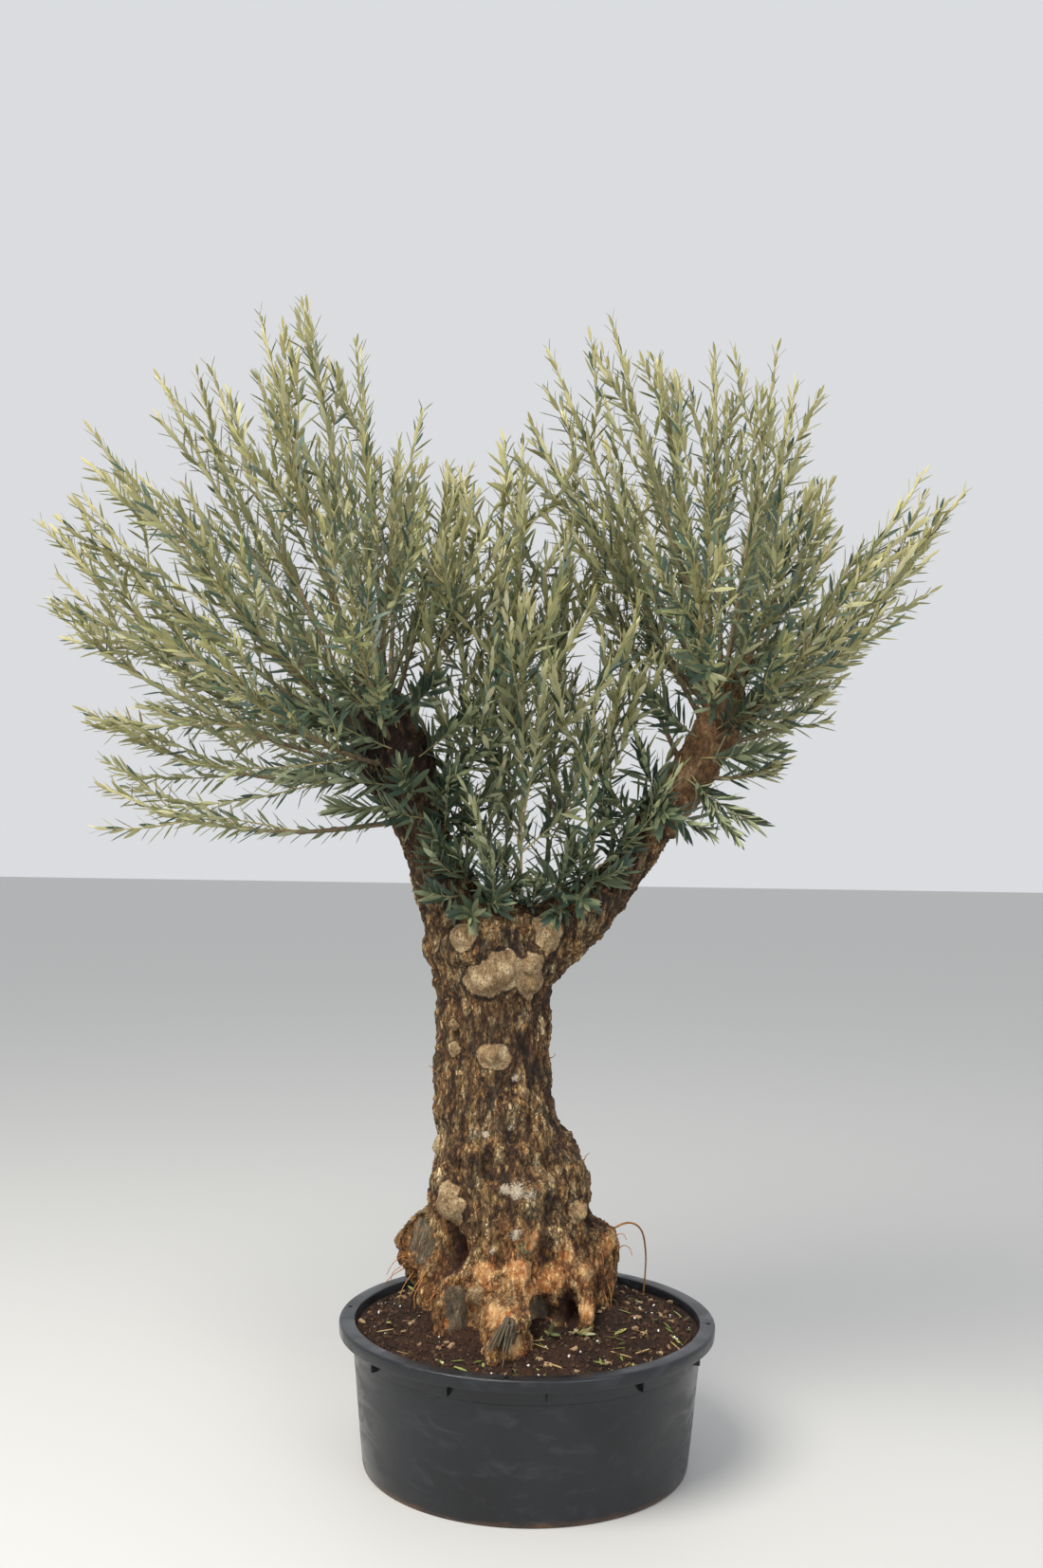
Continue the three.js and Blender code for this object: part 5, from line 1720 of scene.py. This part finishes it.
# %% Tips of the boughs
# Where a bough leaves its limb as a share of the limb, or which start of the fork it has, and its tip
BOUGHS = {
    "left": [
        [0.9, -330, -60, 2390], [0.93, -440, 60, 2640], [0.95, -575, -40, 2722], [0.95, -700, 90, 2735],
        [0.88, -785, -90, 2545], [0.9, -930, 20, 2545], [0.8, -1070, -70, 2390], [0.78, -1135, 90, 2265],
        [0.76, -1205, -30, 2175], [0.72, -1200, 110, 2065], [0.68, -1150, -120, 1955],
        [0.62, -1110, 30, 1725], [0.5, -1055, -40, 1540], [0.92, -300, -430, 2260],
        [0.85, -560, -520, 2330], [0.78, -800, -480, 2120], [0.66, -700, -560, 1830],
        [0.74, -390, -580, 1960], [0.9, -240, 380, 2300], [0.84, -520, 520, 2380], [0.76, -820, 460, 2200],
        [0.7, -560, 600, 1980], [0.64, -860, 430, 1800], [0.86, -200, 70, 2310], [0.8, -130, -150, 2080],
    ],
    "right": [
        [0.84, -40, -80, 2420], [0.88, 0, 70, 2650], [0.92, 150, -50, 2690], [0.92, 285, 150, 2655],
        [0.95, 410, -10, 2625], [0.88, 540, -160, 2590], [0.97, 625, 60, 2570], [0.9, 720, 90, 2330],
        [0.86, 925, -30, 2330], [0.83, 1050, 60, 2305], [0.8, 850, -90, 2020], [0.76, 745, 60, 1815],
        [0.66, 612, -60, 1625], [0.82, 330, -480, 2290], [0.88, 560, -500, 2180], [0.8, 300, -560, 2040],
        [0.74, 640, -460, 1960], [0.94, 240, 470, 2400], [0.86, 600, 480, 2280], [0.8, 420, 600, 2080],
        [0.72, 720, 360, 1900], [0.78, 120, -130, 2240], [0.66, 165, 80, 2060],
    ],
    "fork": [
        [0, -180, -120, 2130], [1, -30, -190, 2020], [2, 80, 130, 2230], [3, -90, 170, 2330],
        [4, 200, -110, 1870], [5, -40, 0, 2400],
    ],
}
FORK_STARTS = [
    (-150, -20, 1225), (-30, -40, 1215), (20, 40, 1215), (-110, 50, 1225), (110, -10, 1240),
    (-70, 10, 1240),
]
print("boughs planned:", {place: len(rows) for place, rows in BOUGHS.items()})

# %% Curves of the boughs and their first shoots
START_OFF_CENTRE = 0.6
BOUGH_SAG, BOUGH_THIRD, BOUGH_LATE, TIP_LEAF = 0.07, 0.35, 0.72, 45
FIRST_SHOOT, NEXT_SHOOT, SHOOT_JITTER, SHOOT_OPENING = 0.42, 0.22, 0.05, 0.5
SHOOT_REACH, REACH_JITTER, FIRST_REACH, REACH_LOSS, SHOOT_BEND = 0.3, 0.08, 1.1, 0.3, 0.35
GOLDEN_ANGLE = math.pi * (3 - math.sqrt(5))
UP, ACROSS = Vector((0, 0, 1)), Vector((1, 0, 0))


def chance(seed):
    value = math.sin(seed * 12.9898 + 4.1414) * 43758.5453
    return value - math.floor(value)


def opened(axis, opening, turn):
    """A direction that opens by an angle from an axis, turned round that axis."""
    across = axis.cross(ACROSS if abs(axis.z) > 0.9 else UP).normalized()
    across.rotate(Quaternion(axis, turn))
    return axis * math.cos(opening) + across * math.sin(opening)


def bough_start(place, where, tip):
    if place == "fork":
        return Vector(FORK_STARTS[where])
    centre, axis = limb_curves[place].at(where), limb_curves[place].way(where)
    way = tip - centre
    way = (way - axis * way.dot(axis)).normalized()
    return centre + way * START_OFF_CENTRE * limb_radius(LIMBS[place], where)


def bough_curve(start, leaf_tip):
    whole = leaf_tip - start
    tip = leaf_tip - whole.normalized() * TIP_LEAF
    sag = UP * BOUGH_SAG * math.hypot(whole.x, whole.y)
    return SmoothCurve([start, start.lerp(tip, BOUGH_THIRD) - sag, start.lerp(tip, BOUGH_LATE) - sag, tip])


def cad_shoots(curve, seed):
    """The two side shoots that the CAD model has too."""
    shoots = []
    for i in range(2):
        share = FIRST_SHOOT + NEXT_SHOOT * i + SHOOT_JITTER * chance(seed + i)
        axis, start = curve.way(share), curve.at(share)
        way = opened(axis, SHOOT_OPENING, (seed + i) * GOLDEN_ANGLE)
        reach = curve.length() * (SHOOT_REACH + REACH_JITTER * chance(seed + 7 * i + 3))
        reach *= FIRST_REACH - REACH_LOSS * i
        middle = start + way * reach / 2
        tip = middle + way.lerp(axis, SHOOT_BEND).normalized() * reach / 2
        shoots.append((SmoothCurve([start, middle, tip]), share))
    return shoots


print("first shoot at", FIRST_SHOOT, "and second at", round(FIRST_SHOOT + NEXT_SHOOT, 2), "of a bough")

# %% Inside the crown
# The crown's outline in the photograph, as pixels across and down, with the dips between its plumes
CROWN = [
    (95, 832), (78, 752), (150, 735), (38, 622), (105, 592), (34, 572), (40, 545), (68, 508),
    (112, 535), (82, 456), (150, 492), (156, 388), (212, 448), (243, 392), (262, 380), (274, 310),
    (316, 308), (342, 385), (384, 332), (366, 425), (388, 440), (408, 505), (421, 448), (455, 505),
    (484, 466), (505, 468), (535, 430), (555, 474), (566, 348), (600, 405), (634, 320), (660, 372),
    (692, 346), (715, 392), (740, 348), (772, 402), (798, 372), (812, 425), (833, 374), (866, 490),
    (892, 562), (915, 520), (925, 562), (977, 486), (976, 532), (1034, 500), (986, 592), (952, 622),
    (930, 642), (925, 680), (888, 725), (835, 772), (835, 806), (790, 850), (740, 896), (690, 865),
    (650, 920), (600, 945), (560, 935), (540, 940), (500, 950), (465, 905), (440, 862), (340, 878),
    (250, 872), (170, 866),
]
BOX_LOW = Vector(cad_box[0]) * 1000 + Vector((30, 30, 0))
BOX_HIGH = Vector(cad_box[1]) * 1000 - Vector((30, 30, 20))


def in_crown(place):
    """Whether a place shows inside the crown's outline, and inside the CAD model's box."""
    across, down = pixel_of(place)
    inside = False
    for (x1, y1), (x2, y2) in zip(CROWN, CROWN[1:] + CROWN[:1]):
        if (y1 > down) != (y2 > down) and across < x1 + (down - y1) * (x2 - x1) / (y2 - y1):
            inside = not inside
    return inside and all(low < at < high for low, at, high in zip(BOX_LOW, place, BOX_HIGH))


print("the left head's middle is inside:", in_crown(Vector((-500, 0, 2200))))

# %% More shoots to fill a bough
EXTRA_FROM, EXTRA_TO, EXTRA_TURN, EXTRA_LIFT, EXTRA_BEND = 0.14, 0.86, 1.3, 0.12, 0.45
LEAST_OPENING, LEAST_REACH, SHORTENED = 0.3, 70, 0.86
REACH_LOW_DOWN, REACH_HIGH_UP = 1.15, 0.55


def more_shoots(curve, seed, count, widest, longest):
    """Long steep shoots that fill a bough."""
    shoots = []
    for i in range(count):
        share = between(EXTRA_FROM, EXTRA_TO, (i + chance(seed * 3 + i)) / count)
        axis, start = curve.way(share), curve.at(share)
        opening = between(LEAST_OPENING, widest, chance(seed * 5 + i))
        way = opened(axis, opening, (seed * 2 + i) * GOLDEN_ANGLE + EXTRA_TURN)
        way = (way + UP * EXTRA_LIFT).normalized()
        reach = between(0.5, 1.0, chance(seed * 7 + i))
        reach = reach * between(REACH_LOW_DOWN, REACH_HIGH_UP, share) * longest
        later = way.lerp(axis, EXTRA_BEND).normalized()
        while reach > LEAST_REACH:
            tip = start + way * reach / 2 + later * reach / 2
            if in_crown(tip + later * TIP_LEAF):
                break
            reach *= SHORTENED
        if reach > LEAST_REACH:
            shoots.append((SmoothCurve([start, start + way * reach / 2, tip]), share))
    return shoots


print("more shoots from", EXTRA_FROM, "to", EXTRA_TO, "of a bough")

# %% Lines with what grows on them
LINE_VALUES = ("thickness", "leaf_size", "lean", "outer")
LEAN_LOW, LEAN_HIGH, LEAN_FROM, LEAN_TO = 0.8, 0.34, 0.15, 0.9
TIP_LEAF_LOSS, TIP_FROM = 0.35, 0.7
PAIR_SPACING, LINE_STEP = 0.0174, 26


def empty_lines():
    return {key: [] for key in ("points", "edges", *LINE_VALUES)}


def shoot_line(lines, curve, thick, thin, bare, leaf_size, inner, outer, step=LINE_STEP):
    """Adds a shoot to the bundle: places in m, and thickness, leaf size, lean and outerness at each."""
    count = max(4, round(curve.length() / step))
    first = len(lines["points"])
    for i in range(count + 1):
        share = i / count
        grown_leaf = leaf_size * (1 - TIP_LEAF_LOSS * smooth_step(share, TIP_FROM, 1.0))
        lines["points"].append(curve.at(share) / 1000)
        lines["thickness"].append(between(thick, thin, share) / 1000)
        lines["leaf_size"].append(0.0 if share < bare else grown_leaf)
        lines["lean"].append(between(LEAN_LOW, LEAN_HIGH, smooth_step(share, LEAN_FROM, LEAN_TO)))
        lines["outer"].append(between(inner, outer, share))
    lines["edges"] += [(first + i, first + i + 1) for i in range(count)]


def grown(name, lines, seed, spacing=PAIR_SPACING):
    """A leafy piece grown on a bundle of lines."""
    mesh = bpy.data.meshes.new(name)
    mesh.from_pydata(lines["points"], lines["edges"], [])
    for key in LINE_VALUES:
        store(mesh, key, np.array(lines[key]))
    piece = in_scene(name, mesh)
    grow(piece, leafy_shoots, leaf=leaf, pair_spacing=spacing, seed=seed, finish=young_wood)
    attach(piece, "root")
    return piece


print("each point of a line has", LINE_VALUES)

# %% Grow the boughs
# Thickness at the start in mm, bare share, more shoots, their widest opening, leaf size, outerness
LIMB_BOUGH = (7.0, 0.1, 6, 0.62, 1.0, 1.0)
FORK_BOUGH = (4.0, 0.03, 13, 1.25, 1.12, 0.75)
LONGEST_SHOOT, BOUGH_TIP = 470, 1.6
SIDE_THICK, SIDE_THIN, SIDE_BARE = 2.4, 1.0, 0.1
SMALLEST_LEAVES, LARGEST_LEAVES, SIZE_SEED = 0.92, 1.1, 50
SHOOT_TONE, SHOOT_TONE_GAIN = 0.8, 0.5

seed, bough_triangles = 1, 0
for place, rows in BOUGHS.items():
    thick, bare, count, widest, leafiness, depth = FORK_BOUGH if place == "fork" else LIMB_BOUGH
    for number, (where, *tip) in enumerate(rows, 1):
        tip = Vector(tip)
        curve = bough_curve(bough_start(place, where, tip), tip)
        lines = empty_lines()
        size = between(SMALLEST_LEAVES, LARGEST_LEAVES, chance(seed + SIZE_SEED)) * leafiness
        shoot_line(lines, curve, thick, BOUGH_TIP, bare, size, 0.0, depth)
        shoots = cad_shoots(curve, seed) + more_shoots(curve, seed, count, widest, LONGEST_SHOOT)
        for side, share in shoots:
            # Low shoots and the fork's boughs are less outer, so their leaves are darker: partly older
            # leaves, partly painted shade inside the crown.
            inner = depth * share * SHOOT_TONE
            outer = min(1.0, inner + SHOOT_TONE_GAIN)
            shoot_line(lines, side, SIDE_THICK, SIDE_THIN, SIDE_BARE, size, inner, outer)
        name = f"bough_{place}_{number:02d}"
        piece = grown("leafy_" + name, lines, seed)
        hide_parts(name)
        piece.data.calc_loop_triangles()
        bough_triangles += len(piece.data.loop_triangles)
        seed += 1
print("boughs:", seed - 1, "triangles:", bough_triangles)

# %% [markdown]
# ## Sprigs
#
# Short dark shoots sprout straight from the old wood round the fork and along the limbs, with their
# leaves packed in rosettes, and four pale ones at the foot. The photograph shows them as pixels, and
# each starts on the skin.

# %% Sprigs from the old wood
# Pixel of the start on the wood, where the tip is from there in mm, and leaf size
SPRIGS = [
    ((500, 955), (-6, -100, -14), 1.05), ((490, 945), (-50, -76, 6), 1.05),
    ((506, 950), (40, -84, 6), 1.0), ((498, 935), (-22, -66, 56), 1.05),
    ((512, 945), (70, -60, 30), 0.95), ((484, 925), (-50, -60, 50), 1.0),
    ((475, 900), (-30, -90, 40), 1.05), ((480, 885), (50, -90, 60), 1.05),
    ((470, 880), (10, -100, 90), 1.05), ((606, 940), (10, -100, -8), 1.05),
    ((596, 935), (-46, -76, 20), 1.05), ((618, 932), (56, -66, 30), 1.05),
    ((610, 930), (0, -76, 60), 1.05), ((600, 945), (-30, -90, -30), 0.95),
    ((640, 905), (30, -96, 50), 1.05), ((645, 890), (-40, -86, 80), 1.05),
    ((672, 862), (30, -110, 50), 1.1), ((665, 868), (-50, -90, 60), 1.1),
    ((690, 840), (-40, -96, 90), 1.1), ((700, 850), (70, -76, -40), 1.05),
    ((682, 850), (20, -120, -10), 1.1), ((725, 820), (110, -70, -80), 1.05),
    ((740, 800), (120, -80, 10), 1.1), ((730, 815), (70, -80, -110), 1.0),
    ((752, 770), (60, -120, 50), 1.1), ((735, 780), (-90, -96, 60), 1.1),
    ((745, 745), (120, -66, 110), 1.1), ((770, 740), (130, -50, 50), 1.1),
    ((780, 700), (90, -110, 60), 1.1), ((760, 720), (-60, -130, 60), 1.1),
    ((450, 865), (-70, -90, 20), 1.05), ((455, 850), (50, -100, 50), 1.05),
    ((465, 870), (90, -70, 60), 1.05), ((430, 850), (-120, -66, -10), 1.05),
    ((425, 830), (-150, -60, 20), 1.1), ((440, 840), (-20, -120, 40), 1.1),
    ((415, 790), (-130, -90, 60), 1.1), ((440, 800), (100, -96, 80), 1.1),
    ((420, 770), (-20, -130, 90), 1.1), ((455, 820), (120, -70, 60), 1.1),
    ((380, 770), (-150, -66, 50), 1.1), ((375, 755), (-90, -110, -20), 1.1),
    ((385, 745), (-40, -140, 30), 1.1), ((430, 750), (60, -130, 40), 1.1),
    ((560, 958), (10, -66, 50), 0.9), ((545, 952), (-30, -60, 80), 0.95),
    ((575, 948), (50, -50, 90), 0.95), ((530, 952), (-40, -46, 100), 0.95),
    ((520, 958), (0, -70, 90), 1.0), ((588, 945), (20, -60, 110), 1.0),
    ((400, 800), (-160, -30, -40), 1.1), ((556, 1404), (-24, -34, 8), 0.62),
    ((572, 1406), (8, -46, 12), 0.66), ((588, 1406), (40, -34, 10), 0.62),
    ((548, 1318), (6, -26, 10), 0.4),
]
SPRIG_LEAF, SPRIG_REACH, SPRIG_SAG, SPRIG_SUNK = 1.2, 1.3, Vector((0, 0, -6)), 6
SPRIG_SPACING, SPRIG_STEP, SPRIG_SEED = 0.0092, 14, 90
SPRIG_THICK, SPRIG_THIN, SPRIG_BARE = 2.2, 1.1, 0.1
FOOT_PIXEL, FOOT_TONE, SPRIG_TONE_GAIN = 1200, 0.6, 0.3

lines = empty_lines()
for (across, down), reach, size in SPRIGS:
    spot, facing = on_skin(across, down)
    start, reach = spot * 1000 - facing * SPRIG_SUNK, Vector(reach) * SPRIG_REACH
    curve = SmoothCurve([start, start + reach * 0.5 + SPRIG_SAG, start + reach])
    pale = FOOT_TONE if down > FOOT_PIXEL else 0.0
    shoot_line(
        lines, curve, SPRIG_THICK, SPRIG_THIN, SPRIG_BARE, size * SPRIG_LEAF, pale,
        pale + SPRIG_TONE_GAIN, step=SPRIG_STEP,
    )
sprigs = grown("sprigs_from_old_wood", lines, SPRIG_SEED, spacing=SPRIG_SPACING)
print("sprigs:", len(SPRIGS), "faces:", len(sprigs.data.polygons))

# %% [markdown]
# ## Size and finish
#
# The box of everything shown is kept beside the CAD model's box, so that they can be compared.

# %% Print both boxes and finish
visual_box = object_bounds()
boxes = {"cad": [list(corner) for corner in cad_box], "visual": [list(corner) for corner in visual_box]}
for name, box in boxes.items():
    print(name, [[round(v, 3) for v in corner] for corner in box])
